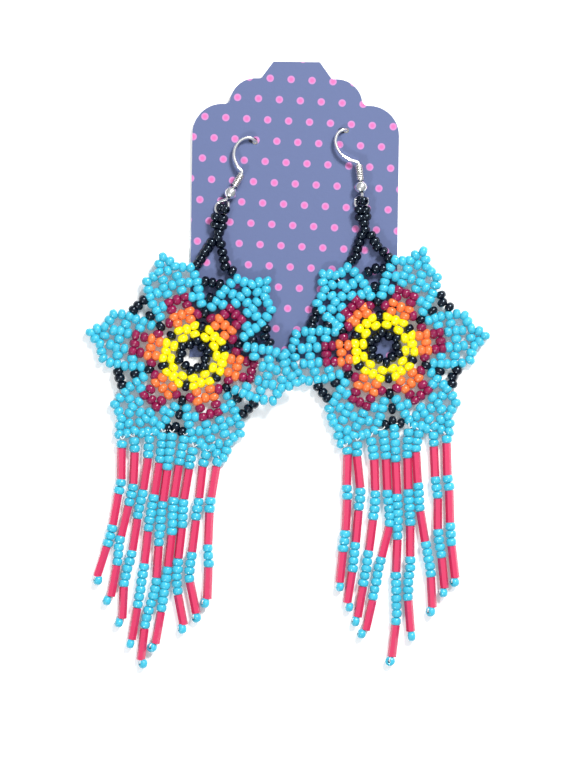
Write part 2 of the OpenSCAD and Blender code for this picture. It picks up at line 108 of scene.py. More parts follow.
# Petals: heading counter-clockwise from +X, stretch, lift, how far the whole petal has slid on the table,
# how far the fringe pulls in the corner bead on the left and on the right, and how much further out the
# petal's right-hand side lies. Then, for the bridge after each petal, how far its middle bead bows out,
# how far the bridge lies off the spoke, and how far the bead in the notch does
Petal = namedtuple("Petal", "heading stretch lift slide tucks flare", defaults=(0,))
Flower = namedtuple("Flower", "x y petals bows")
FLOWERS = {
    "left": Flower(-20.75, 2.0, (
        Petal(108.1, 0.15, 0, (0.45, -0.1), (0, 0)),
        Petal(46.7, 0.2, 0, (0.35, -0.3), (0, 0)),
        Petal(-14.3, 0.3, 7.2, (0.15, -0.15), (0, 0)),
        Petal(-73.1, 0.55, 0, (-0.15, 0.05), (0, 1)),
        Petal(-133.4, 0.7, 0, (-0.15, 0), (1, 0)),
        Petal(166.0, 0.5, -1.0, (-0.05, -0.4), (0, 0)),
    ), ((0, -0.1, -0.37), (-0.65, 0, 0), (0, 0, 0), (-0.65, 0, 0), (0, 0, 0), (0, 0, 0))),
    "right": Flower(21.15, 3.9, (
        Petal(131.0, -2.0, 0, (0.1, 0.4), (0, 0), 1.6),
        Petal(68.2, -0.25, 0, (0.05, 0), (0, 0)),
        Petal(6.6, -0.4, -1.0, (-0.1, 0), (0, 0)),
        Petal(-52.0, 0.4, 0, (-0.05, -0.2), (0, 1)),
        Petal(-115.0, 0.35, 0, (0.2, -0.15), (0.8, 0.8)),
        Petal(-174.5, 0.2, 0, (0.1, -0.3), (0, 0)),
    ), ((0.45, -0.8, 0), (-0.6, 0, 0), (-0.5, 0, 0), (-0.75, 0, 0), (0, 0, 0), (0, 0, 0))),
}
# Sizes of the beads against the plain bead: across, across and along the bore
NET_SIZE = (1.06, 1.06, 1.06)
JET_SIZE = (1.07, 1.07, 1.05)
PAIR_SIZE = (0.88, 0.88, 0.95)
RUN_SIZE = (1.06, 1.06, 1.04)
END_SIZE = (0.99, 0.99, 0.99)
# How square the beads' shoulders are in the nets and in the fringe, from round at 1 to square at 0
NET_SHOULDER = 0.80
RUN_SHOULDER = 0.66
# Height of a flower's eye over the table, and the lean of the card and the flowers in degrees
FLOWER_LIFT = 0.62
LEAN = 1.25
# How far a bead may drift up and down, as a share of its drift to the sides
FLAT_DRIFT = 0.35
# Where along a petal its stretch sets in and over what length, and the petal's half width
STRETCH_FROM = 8.0
STRETCH_OVER = 6.0
HALF_WIDTH = 5.4
# The corner bead that the fringe pulls in, and the pull along the petal and across it
TUCKED = "e6"
CORNER_TUCK = (-0.5, -0.9)
# First letters of the beads in the flower's centre, in a petal, and where strands may start
CENTRE_NAMES = "yob"
PETAL_NAMES = "cmtes"
ANCHOR_NAMES = "cte"

# Fringe strands: top bead, slack, leans of runs and bugles from straight down, how far the top of
# the strand lies over its neighbours, and how far its last bead is turned up and lies to the right
Strand = namedtuple("Strand", "x y slack leans rise turn aside")
FRINGES = {
    "left": (
        Strand(-36.4, -17.35, 1.0, (-4.5, -0.5, -11.5, -10.0, -16.5, -18.0), 0.3, 20, 0.55),
        Strand(-33.8, -16.75, 0.995, (2.0, -2.5, -13.0, -13.5, -8.5, -10.5), 0.3, 10, -0.65),
        Strand(-30.45, -16.35, 1.005, (-4.0, -8.5, -11.5, -9.0, -13.0, -3.0), 0.3, 15, -0.7),
        Strand(-27.5, -15.7, 1.01, (-6.5, -9.0, -10.0, -6.5, -9.0, -10.0), 0.3, 0, -0.1),
        Strand(-25.4, -15.75, 1.0, (-8.0, -8.0, -5.0, -4.0, -13.5, -7.0), 1.1, 30, 0.7),
        Strand(-22.65, -16.3, 1.015, (-11.5, -8.5, -4.0, -6.5, -8.5, -10.0), 0.3, 60, -0.7),
        Strand(-20.8, -18.95, 0.97, (-12.0, -9.5, -3.5, -6.5, -0.5, 11.0), 0.6, 20, -0.65),
        Strand(-17.75, -19.9, 1.01, (-18.0, -6.5, -8.0, -7.0, -3.5, 11.5), 0.3, 40, -0.25),
        Strand(-15.2, -21.4, 1.015, (-20.0, -9.5, -6.0, -2.5, 1.5, -2.0), 0.3, 45, -0.55),
    ),
    "right": (
        Strand(12.85, -18.85, 0.975, (9.0, -1.5, 1.0, -3.0, -7.5, -6.0), 0.3, 5, 0.15),
        Strand(15.2, -17.6, 1.005, (-1.0, 6.0, -5.0, -5.0, -7.0, -9.0), 0.3, 10, 0.65),
        Strand(18.1, -16.85, 0.98, (9.5, 2.0, -4.5, -7.5, -9.5, -10.0), 0.3, 20, -0.2),
        Strand(20.75, -15.1, 0.98, (6.5, 2.5, 2.5, -14.0, -11.5, -13.0), 0.9, 15, -0.65),
        Strand(23.35, -13.8, 1.015, (2.0, 2.5, 0.5, -2.5, -0.5, -7.0), 0.2, 75, -0.25),
        Strand(26.55, -14.85, 0.98, (-3.0, 1.5, 3.5, 0.0, -3.0, 4.5), 0.9, 0, 0.1),
        Strand(28.85, -15.25, 0.965, (-8.5, 3.5, 4.5, 9.0, 9.5, 3.0), 0.3, 40, -0.5),
        Strand(31.95, -15.5, 0.97, (1.5, 2.5, 7.0, 0.0, 7.5, 5.5), 0.3, 20, -0.45),
        Strand(34.75, -16.25, 1.025, (3.5, 1.5, 7.0, 1.5, 3.5, 6.5), 0.3, 35, -0.25),
    ),
}
# The number of the middle strand, which is also how many beads its first run has
MIDDLE_STRAND = 5
# From one bugle's start to the next bead, and from the last bugle to the end bead's middle
BUGLE_PITCH = 6.9
END_BEAD_AT = 0.98
# How much of its way to the side the end bead slides round the bugle's end
END_SLIP = 0.6
# How steeply the top of a strand falls from the beads under it, and the step that gives a bore's direction
RISE_POWER = 1.5
BORE_STEP = 0.02
# The thread: how high it bows over a gap, and where it leaves a first bead, turns over an end bead's
# shoulder and goes in at its rim
THREAD_BOW = 0.85
THREAD_TOP = 0.8
THREAD_SHOULDER = 0.35
THREAD_RIM = 0.85

# The strings that hang the flowers: beads in the wire's loop, two columns side by side, a stem, two legs
Hanger = namedtuple("Hanger", "pair columns stem legs")
HANGERS = {
    "left": Hanger(
        ((-14.65, 34.5), (-13.65, 33.9)),
        (((-15.8, 32.4), (-15.95, 30.75)), ((-14.3, 32.1), (-14.45, 30.5))),
        ((-15.1, 29.1), (-15.5, 27.8)),
        (
            ((-16.75, 26.95), (-17.55, 25.65), (-18.4, 24.55), (-19.1, 23.3), (-19.9, 22.05)),
            ((-14.7, 26.45), (-14.5, 24.75), (-14.1, 23.2), (-13.7, 21.65), (-12.3, 20.55)),
        ),
    ),
    "right": Hanger(
        ((15.7, 36.2), (16.6, 35.9)),
        (((15.6, 33.95), (15.75, 32.35)), ((17.1, 33.95), (17.2, 32.45))),
        ((16.7, 31.1), (16.8, 29.7)),
        (
            ((16.1, 28.4), (15.6, 26.9), (15.2, 25.4), (15.05, 23.9), (13.9, 22.9)),
            ((18.2, 28.5), (18.95, 27.1), (19.7, 25.8), (20.9, 24.8), (22.0, 23.6)),
        ),
    ),
}
# How far the two rows of a column stand off the card below the wire's loop
ROW_LIFTS = (0.55, 0.2)
# Heights of the two beads in the wire's loop
PAIR_HEIGHTS = (2.4, 3.4)
# Where the card's lower edge lies, its thickness, and how high a bead's middle lies over it
CARD_FOOT = 1.45
CARD_THICK = 0.4
ON_CARD = 1.12

# The ear wires: from the tail behind the card through its hole, over the bend, through the coil and
# the ball and round the small loop
WIRES = {
    "left": (
        (-4.6, 38.0, 0.36), (-5.3, 42.0, 0.36), (-6.2, 45.8, 0.36), (-6.95, 48.3, 0.42),
        (-7.15, 48.85, 0.85), (-7.2, 48.98, 1.35), (-7.35, 49.2, 1.85), (-7.8, 49.6, 2.25),
        (-8.7, 49.85, 2.5), (-9.9, 49.5, 2.6), (-10.9, 48.7, 2.7), (-11.6, 47.5, 2.75),
        (-11.85, 46.1, 2.75), (-11.6, 44.8, 2.75), (-11.1, 43.75, 2.75), (-10.5, 42.95, 2.75),
        (-10.1, 42.4, 2.75), (-10.2, 41.75, 2.75), (-10.99, 40.44, 2.75), (-11.775, 39.125, 2.75),
        (-13.35, 36.5, 2.75), (-14.2, 36.05, 2.4), (-15.3, 35.6, 1.8), (-15.9, 34.5, 1.55),
        (-15.5, 33.3, 1.55), (-14.6, 32.9, 1.55), (-13.6, 33.3, 1.55), (-13.1, 34.6, 1.55),
        (-13.1, 35.7, 1.55),
    ),
    "right": (
        (12.9, 38.6, 0.36), (12.9, 43.0, 0.36), (12.9, 47.6, 0.36), (12.85, 50.7, 0.42),
        (12.8, 51.3, 0.85), (12.78, 51.45, 1.35), (12.65, 51.6, 1.9), (12.2, 51.6, 2.3),
        (11.5, 51.3, 2.5), (10.8, 50.6, 2.6), (10.45, 49.6, 2.7), (10.45, 48.6, 2.75),
        (10.8, 47.5, 2.75), (11.5, 46.4, 2.75), (12.5, 45.6, 2.75), (13.7, 44.95, 2.75),
        (14.6, 44.65, 2.75), (15.25, 44.4, 2.75), (15.5, 43.9, 2.75), (15.69, 42.2, 2.75),
        (15.88, 40.5, 2.75), (16.25, 37.2, 2.75), (15.6, 36.9, 2.2), (14.85, 36.3, 1.7),
        (14.75, 35.4, 1.55), (15.2, 34.7, 1.55), (16.0, 34.5, 1.55), (16.9, 34.8, 1.55),
        (17.45, 35.6, 1.55), (17.4, 36.5, 1.55),
    ),
}
# Steps from one point of a wire to the next, sides round it, and the angles of its rounded end's rings
WIRE_STEPS = 5
WIRE_SIDES = 12
CAP_ANGLES = (0.5, 1.0, 1.4)
# Which points of a wire its straight shank lies between, how far along it the coil's middle lies, the
# turns of the coil, and where and over what reach the wire is hammered wider and thinner
SHANKS = {"left": (17, 20), "right": (18, 21)}
COIL_PLACES = {"left": 1.4, "right": 1.7}
COIL_TURNS = {"left": 8.0, "right": 9.0}
FLATS = {"left": 14.5, "right": 13.0}
FLAT_REACH = 0.9
FLAT_WIDER = 0.32
FLAT_THINNER = 0.30
# How much of its pitch the coil's fine wire fills
COIL_FILL = 0.82
# Painted shade of the pierced hole in the card round each wire, a dark patch drawn on the print: its middle
# and its reach to the side and up, in millimetres, and the dark tone painted there
HOLE_SHADES = (((-7.75, 49.35), (0.95, 0.62)), ((12.05, 51.5), (1.05, 0.62)))
HOLE_SHADE_TONE = (0.012, 0.014, 0.03)

# Each glaze: share of its tone in the deep tone, roughness, and the depth of the grain
GLAZE_FINISH = {
    "jet": (0.5, 0.17, 0.01),
    "turquoise": (0.80, 0.20, 0.10),
    "yellow": (0.90, 0.24, 0.10),
    "orange": (0.82, 0.22, 0.10),
    "burgundy": (0.62, 0.12, 0.05),
    "coral": (0.93, 0.24, 0.04),
}
# All glazes: scale of the grain, how far the roughness wanders as a share of it, and the refraction
GLASS_GRAIN = 1400.0
GLASS_SPREAD = 0.8
GLASS_IOR = 1.52
# The black glass reflects a little more and bluer
JET_SHINE = {"Specular IOR Level": 0.55, "Specular Tint": (0.70, 0.86, 1.0, 1.0)}
# The other finishes: share of the tone in the deep tone, scale of the grain, roughness, how far the
# roughness wanders, and the depth of the grain
Finish = namedtuple("Finish", "deep grain rough spread bump")
SILVER = Finish(0.92, 2600.0, 0.30, 0.06, 0.02)
THREAD = Finish(0.85, 5000.0, 0.7, 0.1, 0.3)
CARD = Finish(0.90, 1100.0, 0.62, 0.15, 0.25)
# How much lighter than its tone the card's ground is, and the roughness of the coils and the balls
CARD_LIGHT = 1.06
COIL_ROUGH = 0.26
BALL_ROUGH = 0.24
# Depth that a bump of full strength stands for, in metres
BUMP_DEPTH = 0.0001
# The dots' masks: share of the radius and of the edge's softness, and that softness in metres
DOT_MASKS = {"Mask": (1.0, 1.0), "Core": (0.6, 3.0)}
DOT_SOFTNESS = 0.00012

# Seeds of the pieces' random draws, from one side to the next where a side has many pieces, and what is
# added for each draw in the bead tree
SEEDS = {"hanger": 11, "ring": 21, "centre": 31, "petal": 41, "link": 71, "strand": 81, "side": 10}
DRAWS = {"drift": 0, "tilt": 10, "size": 20, "tint": 30}
# How loosely the hangers and the fringe lie against the net
HANGER_TIDY = 0.8
FRINGE_TIDY = 0.55

# The photograph's frame on the table, in millimetres, and the camera's height over it
VIEW_CENTRE = (-0.66, -3.3)
VIEW_HEIGHT = 167.2
CAMERA_HEIGHT = 0.7
SENSOR_WIDTH = 36.0
# The stage: half the floor's width, the tone of the room, and each lamp's name, place, size and shape
FLOOR_REACH = 2.0
ROOM_TONE = (0.93, 0.96, 1.0)
LAMPS = (
    ("soft_light", (0.1, 0.2, 1.3), 0.8, "SQUARE"),
    ("key", (0.33, 0.52, 0.64), 0.22, "DISK"),
    ("low_fill", (-0.3, -0.5, 0.5), 0.1, "DISK"),
)

Bead = namedtuple("Bead", "place bore glaze size", defaults=((1.0, 1.0, 1.0),))


def real(name, description, default, **limits):
    """A number that a user may change."""
    return bpy.props.FloatProperty(name=name, description=description, default=default, **limits)


def metres(name, description, default, low, high):
    """A length that a user may change."""
    return real(name, description, default, min=low, max=high, unit="LENGTH")


def integer(name, description, default, low):
    """A number of sides that a user may change."""
    return bpy.props.IntProperty(name=name, description=description, default=default, min=low, max=16)


def colour(name, description, default):
    """A colour that a user may change."""
    return bpy.props.FloatVectorProperty(
        name=name, description=description, default=default, size=3, min=0.0, max=1.0, subtype="COLOR",
    )


class BeadSizes(bpy.types.PropertyGroup):
    """Sizes of the beads, the thread and the wire"""

    width: metres("Bead width", "Outer diameter of a seed bead", 0.00222, 0.001, 0.004)
    length: metres("Bead length", "Length of a seed bead along its bore", 0.0017, 0.0008, 0.003)
    bore: metres("Bore", "Diameter of a bead's bore", 0.0008, 0.0003, 0.0015)
    pitch: metres("Pitch", "Distance from one bead to the next along a strand", 0.00165, 0.001, 0.003)
    bugle_width: metres("Bugle width", "Outer diameter of a bugle bead", 0.00192, 0.001, 0.003)
    bugle_length: metres("Bugle length", "Length of a bugle bead", 0.00695, 0.004, 0.012)
    sides: integer("Sides", "Sides round a bead", 14, 10)
    bugle_sides: integer("Bugle sides", "Cut faces round a bugle bead", 6, 6)
    size_spread: real(
        "Size spread", "How much one bead differs in size from the next", 0.05,
        min=0.0, max=0.2, subtype="FACTOR",
    )
    tilt_spread: real(
        "Tilt spread", "How far a bead in the net leans out of line", math.radians(7),
        min=0.0, max=math.radians(20), unit="ROTATION",
    )
    drift: metres("Drift", "How far a bead in the net lies from its charted place", 0.00011, 0.0, 0.0004)
    thread_width: metres("Thread width", "Diameter of the beading thread", 0.00022, 0.0001, 0.0005)
    wire_width: metres("Wire width", "Diameter of the ear wire", 0.0007, 0.0004, 0.001)
    coil_width: metres("Coil width", "Outer diameter of the coil on the ear wire", 0.00175, 0.0012, 0.0025)
    coil_pitch: metres("Coil pitch", "Distance from one turn of the coil to the next", 0.00042, 0.0002, 0.001)


class Glazes(bpy.types.PropertyGroup):
    """Colours of the glass, the card and the metal"""

    jet: colour("Jet", "Black glass of the hangers, rings and spokes", (0.0005, 0.0022, 0.0095))
    turquoise: colour("Turquoise", "Opaque glass of the petals and the fringe", (0.052, 0.488, 0.665))
    yellow: colour("Yellow", "Opaque glass of the first round", (0.93, 0.80, 0.003))
    orange: colour("Orange", "Opaque glass of the second round", (0.88, 0.187, 0.045))
    burgundy: colour("Burgundy", "Opaque glass of the third round", (0.281, 0.0083, 0.0705))
    coral: colour("Coral", "Opaque glass of the bugles", (0.585, 0.033, 0.108))
    thread: colour("Thread", "White beading thread", (0.9, 0.9, 0.88))
    silver: colour("Silver", "Ear wires and balls", (0.96, 0.96, 0.96))
    coil: colour("Coil", "Fine wire of the coils", (0.90, 0.88, 0.84))
    card: colour("Card", "Printed ground of the card", (0.0937, 0.123, 0.255))
    dots: colour("Dots", "Printed dots of the card", (0.60, 0.125, 0.35))
    rims: colour("Dot rims", "Paler rims of the dots", (0.50, 0.20, 0.45))
    paper: colour("Paper", "Bare paper at the card's edges and back", (0.80, 0.79, 0.77))


class CardPrint(bpy.types.PropertyGroup):
    """The dots printed on the card"""

    dot_width: metres("Dot width", "Diameter of a dot", 0.00162, 0.0005, 0.004)
    across: metres("Across", "Distance between dots in a row", 0.0046, 0.002, 0.01)
    down: metres("Down", "Distance between rows", 0.004565, 0.002, 0.01)
    turn: real(
        "Turn", "Turn of the rows on the card", math.radians(-3.1),
        min=-math.pi, max=math.pi, unit="ROTATION",
    )
    origin: bpy.props.FloatVectorProperty(
        name="Origin", description="Place of one dot", default=(-0.003906, 0.06292, 0.0), size=3,
        unit="LENGTH",
    )


class StageLights(bpy.types.PropertyGroup):
    """Floor and lights"""

    floor: colour("Floor", "Pale surface that the pair lies on", (0.93, 0.93, 0.93))
    glow: real("Floor glow", "Light that the floor gives off", 0.13, min=0.0)
    soft: real("Soft light", "Power of the large light overhead", 1.0, min=0.0, unit="POWER")
    key: real("Key light", "Power of the light from the upper right", 10.0, min=0.0, unit="POWER")
    fill: real("Low fill", "Power of the small low light from the lower left", 2.7, min=0.0, unit="POWER")
    sky: real("Room light", "Strength of the even light from overhead", 0.55, min=0.0)
    dusk: real(
        "Horizon", "Share of the room light that comes from the horizon", 0.5,
        min=0.0, max=1.0, subtype="FACTOR",
    )


class Value:
    """An output in a tree, with which sums are written."""

    def __init__(self, graph, socket):
        self.graph = graph
        self.socket = socket

    def __add__(self, other):
        return self.graph.math("ADD", self, other)

    def __sub__(self, other):
        return self.graph.math("SUBTRACT", self, other)

    def __mul__(self, other):
        return self.graph.math("MULTIPLY", self, other)

    def __truediv__(self, other):
        return self.graph.math("DIVIDE", self, other)


class Graph:
    """Adds nodes to a tree and joins them."""

    def __init__(self, tree):
        self.tree = tree

    def feed(self, socket, value):
        """Joins a socket to an output, or gives it a constant."""
        if isinstance(value, Value):
            self.tree.links.new(value.socket, socket)
        else:
            socket.default_value = value

    def put(self, kind, values=(), **settings):
        """A new node with its settings, and its inputs by name or in order."""
        node = self.tree.nodes.new(kind)
        for name, value in settings.items():
            setattr(node, name, value)
        free = [s for s in node.inputs if s.enabled]
        if isinstance(values, dict):
            free = [next(s for s in free if s.name == name) for name in values]
            values = values.values()
        for socket, value in zip(free, values):
            self.feed(socket, value)
        return node

    def outputs(self, kind, values=(), **settings):
        """The outputs in use of a new node, by name."""
        node = self.put(kind, values, **settings)
        return {s.name: Value(self, s) for s in node.outputs if s.enabled}

    def get(self, kind, values=(), **settings):
        """The first output in use of a new node."""
        return next(iter(self.outputs(kind, values, **settings).values()))

    def math(self, operation, *values):
        """A sum on numbers."""
        return self.get("ShaderNodeMath", values, operation=operation)

    def vector(self, operation, *values):
        """A sum on vectors."""
        return self.get("ShaderNodeVectorMath", values, operation=operation)

    def mix(self, share, under, over):
        """One colour over another by a mask."""
        return self.get("ShaderNodeMix", (share, under, over), data_type="RGBA")

    def attribute(self, name, data_type):
        """A named attribute in a geometry tree."""
        return self.get("GeometryNodeInputNamedAttribute", (name,), data_type=data_type)

    def sweep(self, curve, profile, caps=False):
        """A profile swept along a curve."""
        return self.get("GeometryNodeCurveToMesh", {
            "Curve": curve, "Profile Curve": profile, "Fill Caps": caps,
        })

    def hoop(self, sides, radius):
        """A circle of so many sides."""
        return self.get("GeometryNodeCurvePrimitiveCircle", {
            "Resolution": sides, "Radius": radius,
        }, mode="RADIUS")

    def dressed(self, shape, material):
        """A shape shaded smooth, made real and given its material."""
        smooth = self.get("GeometryNodeSetShadeSmooth", {"Geometry": shape, "Shade Smooth": True})
        whole = self.get("GeometryNodeRealizeInstances", {"Geometry": smooth})
        return self.get("GeometryNodeSetMaterial", {"Geometry": whole, "Material": material})


def socket_type(value):
    """The type of a socket with that default, or of the kind that a word names."""
    if isinstance(value, str):
        return "NodeSocket" + value
    if isinstance(value, tuple):
        return "NodeSocketColor" if len(value) == 4 else "NodeSocketVector"
    return "NodeSocketInt" if isinstance(value, int) else "NodeSocketFloat"


def new_tree(name, kind, inputs, outputs):
    """An empty node group: its graph, its inputs by name, and the sockets that take its outputs."""
    tree = bpy.data.node_groups.new(name, kind)
    for way, sockets in (("INPUT", inputs), ("OUTPUT", outputs)):
        for socket_name, value in sockets.items():
            socket = tree.interface.new_socket(socket_name, in_out=way, socket_type=socket_type(value))
            if not isinstance(value, str):
                socket.default_value = value
    graph = Graph(tree)
    return graph, graph.outputs("NodeGroupInput"), graph.put("NodeGroupOutput").inputs


def tree_named(name, build):
    """The tree of that name, built once."""
    return bpy.data.node_groups.get(name) or build(name)


def bead_shape_tree(name):
    """One seed bead: a bulging wall round a straight bore."""
    graph, given, made = new_tree(name, "GeometryNodeTree", {
        "Width": 0.0021, "Length": 0.00163, "Bore": 0.0008, "Sides": 12, "Wall Points": 7,
        "Squareness": 0.80,
    }, {"Mesh": "Geometry"})
    power = given["Squareness"]
    radius, half, inner = (given[size] * 0.5 for size in ("Width", "Length", "Bore"))
    reach = graph.math("ARCCOSINE", graph.math("POWER", inner / radius, graph.math("DIVIDE", 1.0, power)))
    arc = graph.get("GeometryNodeCurveArc", {
        "Resolution": given["Wall Points"], "Radius": 1.0,
        "Start Angle": reach * -1.0, "Sweep Angle": reach * 2.0,
    }, mode="RADIUS")
    place = graph.outputs("ShaderNodeSeparateXYZ", {"Vector": graph.get("GeometryNodeInputPosition")})
    x, y = (
        graph.math("POWER", graph.math("ABSOLUTE", place[axis]), power) * graph.math("SIGN", place[axis])
        for axis in "XY"
    )
    wall = graph.get("ShaderNodeCombineXYZ", {"X": x * radius - inner, "Y": y * half})
    profile = graph.get("GeometryNodeSetPosition", {"Geometry": arc, "Position": wall})
    closed = graph.get("GeometryNodeSetSplineCyclic", {"Geometry": profile, "Cyclic": True})
    graph.feed(made["Mesh"], graph.sweep(graph.hoop(given["Sides"], inner), closed))
    return graph.tree


def bugle_shape_tree(name):
    """One bugle bead: a tube with cut ends and a thin worn rim."""
    graph, given, made = new_tree(name, "GeometryNodeTree", {
        "Width": 0.0018, "Length": 0.0069, "Bore": 0.0008, "Sides": 12, "Rim": 0.00006,
    }, {"Mesh": "Geometry"})
    wall = (given["Width"] - given["Bore"]) * 0.5
    middle = (given["Width"] + given["Bore"]) * 0.25
    box = graph.get("GeometryNodeCurvePrimitiveQuadrilateral", {
        "Width": wall, "Height": given["Length"],
    }, mode="RECTANGLE")
    rim = graph.get("GeometryNodeFilletCurve", {
        "Curve": box, "Radius": given["Rim"], "Count": 1,
    }, mode="POLY")
    graph.feed(made["Mesh"], graph.sweep(graph.hoop(given["Sides"], middle), rim))
    return graph.tree


def stringing_tree(name):
    """Puts a bead on every point of a cloud, its bore along the thread and its glaze as charted."""
    inputs = {
        "Places": "Geometry", "Bead Width": 0.0021, "Bead Length": 0.00163, "Bore": 0.0008,
        "Bugle Width": 0.0018, "Bugle Length": 0.0069, "Sides": 12, "Bugle Sides": 8,
        "Size Spread": 0.05, "Tilt Spread": 0.1, "Drift": 0.0001, "Squareness": 0.80,
        "Sharp Angle": math.radians(40), "Seed": 1,
    }
    inputs.update({glaze_name.title(): "Material" for glaze_name in GLAZES})
    graph, given, made = new_tree(name, "GeometryNodeTree", inputs, {"Beads": "Geometry"})
    glaze = graph.attribute("glaze", "INT")
    charted = graph.attribute("size", "FLOAT_VECTOR")
    everywhere = (1.0, 1.0, 1.0)

    def has_glaze(glaze_name):
        """Whether a bead has that glaze."""
        return graph.get("FunctionNodeCompare", {
            "A": glaze, "B": GLAZES.index(glaze_name),
        }, data_type="INT", operation="EQUAL")

    def spread(reach, amount, draw):
        """A random vector up to the reach to either side, the same on every run."""
        back = tuple(-value for value in reach)
        return graph.get("FunctionNodeRandomValue", {
            "Min": graph.vector("SCALE", back, amount), "Max": graph.vector("SCALE", reach, amount),
            "Seed": given["Seed"] + DRAWS[draw],
        }, data_type="FLOAT_VECTOR")

    loose = graph.get("GeometryNodeSetPosition", {
        "Geometry": given["Places"],
        "Offset": spread((1.0, 1.0, FLAT_DRIFT), given["Drift"], "drift"),
    })
    along = graph.get("FunctionNodeAlignRotationToVector", {
        "Vector": graph.attribute("bore", "FLOAT_VECTOR"),
    }, axis="Z")
    tilt = graph.get("FunctionNodeEulerToRotation", {
        "Euler": spread(everywhere, given["Tilt Spread"], "tilt"),
    })
    tilted = graph.get("FunctionNodeRotateRotation", {
        "Rotation": along, "Rotate By": tilt,
    }, rotation_space="LOCAL")
    varied = graph.vector("ADD", spread(everywhere, given["Size Spread"], "size"), everywhere)
    scale = graph.vector("MULTIPLY", varied, charted)

    bead = graph.get("GeometryNodeGroup", {
        "Width": given["Bead Width"], "Length": given["Bead Length"], "Bore": given["Bore"],
        "Sides": given["Sides"], "Squareness": given["Squareness"],
    }, node_tree=tree_named("Seed Bead", bead_shape_tree))
    bugle = graph.get("GeometryNodeGroup", {
        "Width": given["Bugle Width"], "Length": given["Bugle Length"], "Bore": given["Bore"],
        "Sides": given["Bugle Sides"],
    }, node_tree=tree_named("Bugle Bead", bugle_shape_tree))
    is_bugle = has_glaze("coral")
    not_bugle = graph.get("FunctionNodeBooleanMath", {"Boolean": is_bugle}, operation="NOT")
    joined = graph.put("GeometryNodeJoinGeometry")
    for shape, selection, turn, size in (
        (bugle, is_bugle, along, charted), (bead, not_bugle, tilted, scale),
    ):
        graph.feed(joined.inputs[0], graph.get("GeometryNodeInstanceOnPoints", {
            "Points": loose, "Selection": selection, "Instance": shape, "Rotation": turn, "Scale": size,
        }))
    tint = graph.get("FunctionNodeRandomValue", {
        "Min": 0.0, "Max": 1.0, "Seed": given["Seed"] + DRAWS["tint"],
    }, data_type="FLOAT")
    tinted = graph.get("GeometryNodeStoreNamedAttribute", {
        "Geometry": Value(graph, joined.outputs[0]), "Name": "tint", "Value": tint,
    }, data_type="FLOAT", domain="INSTANCE")
    shape = graph.get("GeometryNodeRealizeInstances", {"Geometry": tinted})
    angle = graph.get("GeometryNodeInputMeshEdgeAngle")
    shape = graph.get("GeometryNodeStoreNamedAttribute", {
        "Geometry": shape, "Name": "sharp_edge",
        "Value": graph.math("GREATER_THAN", angle, given["Sharp Angle"]),
    }, data_type="BOOLEAN", domain="EDGE")
    shape = graph.get("GeometryNodeSetShadeSmooth", {"Geometry": shape, "Shade Smooth": True})
    for glaze_name in GLAZES:
        shape = graph.get("GeometryNodeSetMaterial", {
            "Geometry": shape, "Selection": has_glaze(glaze_name), "Material": given[glaze_name.title()],
        })
    graph.feed(made["Beads"], shape)
    return graph.tree


def thread_tree(name):
    """Sweeps a thin round thread along the edges of a mesh."""
    graph, given, made = new_tree(name, "GeometryNodeTree", {
        "Runs": "Geometry", "Width": 0.00022, "Sides": 6, "Material": "Material",
    }, {"Thread": "Geometry"})
    runs = graph.get("GeometryNodeMeshToCurve", {"Mesh": given["Runs"]})
    hoop = graph.hoop(given["Sides"], given["Width"] * 0.5)
    graph.feed(made["Thread"], graph.dressed(graph.sweep(runs, hoop, True), given["Material"]))
    return graph.tree


def coil_tree(name):
    """A close coil of fine wire, set on the shank of the ear wire."""
    graph, given, made = new_tree(name, "GeometryNodeTree", {
        "Geometry": "Geometry", "Width": 0.0018, "Length": 0.0033, "Turns": 8.0, "Wire Width": 0.00042,
        "Place": (0.0, 0.0, 0.0), "Axis": (0.0, 0.0, 1.0), "Material": "Material",
        "Steps": 20, "Sides": 8,
    }, {"Coil": "Geometry"})
    wire = given["Wire Width"] * 0.5
    radius = given["Width"] * 0.5 - wire
    run = given["Length"] - given["Wire Width"]
    spiral = graph.get("GeometryNodeCurveSpiral", {
        "Resolution": given["Steps"], "Rotations": given["Turns"], "Start Radius": radius,
        "End Radius": radius, "Height": run,
    })
    drop = graph.get("ShaderNodeCombineXYZ", {"Z": run * -0.5})
    axis = graph.outputs("ShaderNodeSeparateXYZ", {"Vector": given["Axis"]})
    spin = graph.get("ShaderNodeCombineXYZ", {"Z": graph.math("ARCTAN2", axis["Y"], axis["X"])})
    centred = graph.get("GeometryNodeTransform", {
        "Geometry": graph.sweep(spiral, graph.hoop(given["Sides"], wire), True),
        "Translation": drop, "Rotation": spin,
    })
    lean = graph.get("FunctionNodeAlignRotationToVector", {"Vector": given["Axis"]}, axis="Z")
    placed = graph.get("GeometryNodeTransform", {
        "Geometry": centred, "Translation": given["Place"], "Rotation": lean,
    })
    graph.feed(made["Coil"], graph.dressed(placed, given["Material"]))
    return graph.tree


def added(name, data):
    """A new object in the scene."""
    item = bpy.data.objects.new(name, data)
    bpy.context.scene.collection.objects.link(item)
    return item


def grown(name, mesh, tree, values):
    """A plain mesh object made by running a tree on a mesh, with its inputs by name."""
    holder = added(name + "_source", mesh)
    modifier = holder.modifiers.new("grow", "NODES")
    modifier.node_group = tree
    sockets = {s.name: s.identifier for s in tree.interface.items_tree if s.in_out == "INPUT"}
    for socket_name, value in values.items():
        modifier[sockets[socket_name]] = value
    bpy.context.view_layer.update()
    shape = holder.evaluated_get(bpy.context.evaluated_depsgraph_get())
    result = bpy.data.meshes.new_from_object(shape)
    result.name = name
    holder.modifiers.remove(modifier)
    bpy.data.objects.remove(holder)
    return added(name, result)


def settle(piece, nodes=()):
    """Lets a finished piece ride with the whole and stand for its solids."""
    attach(piece, "root")
    if nodes:
        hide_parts(*nodes)


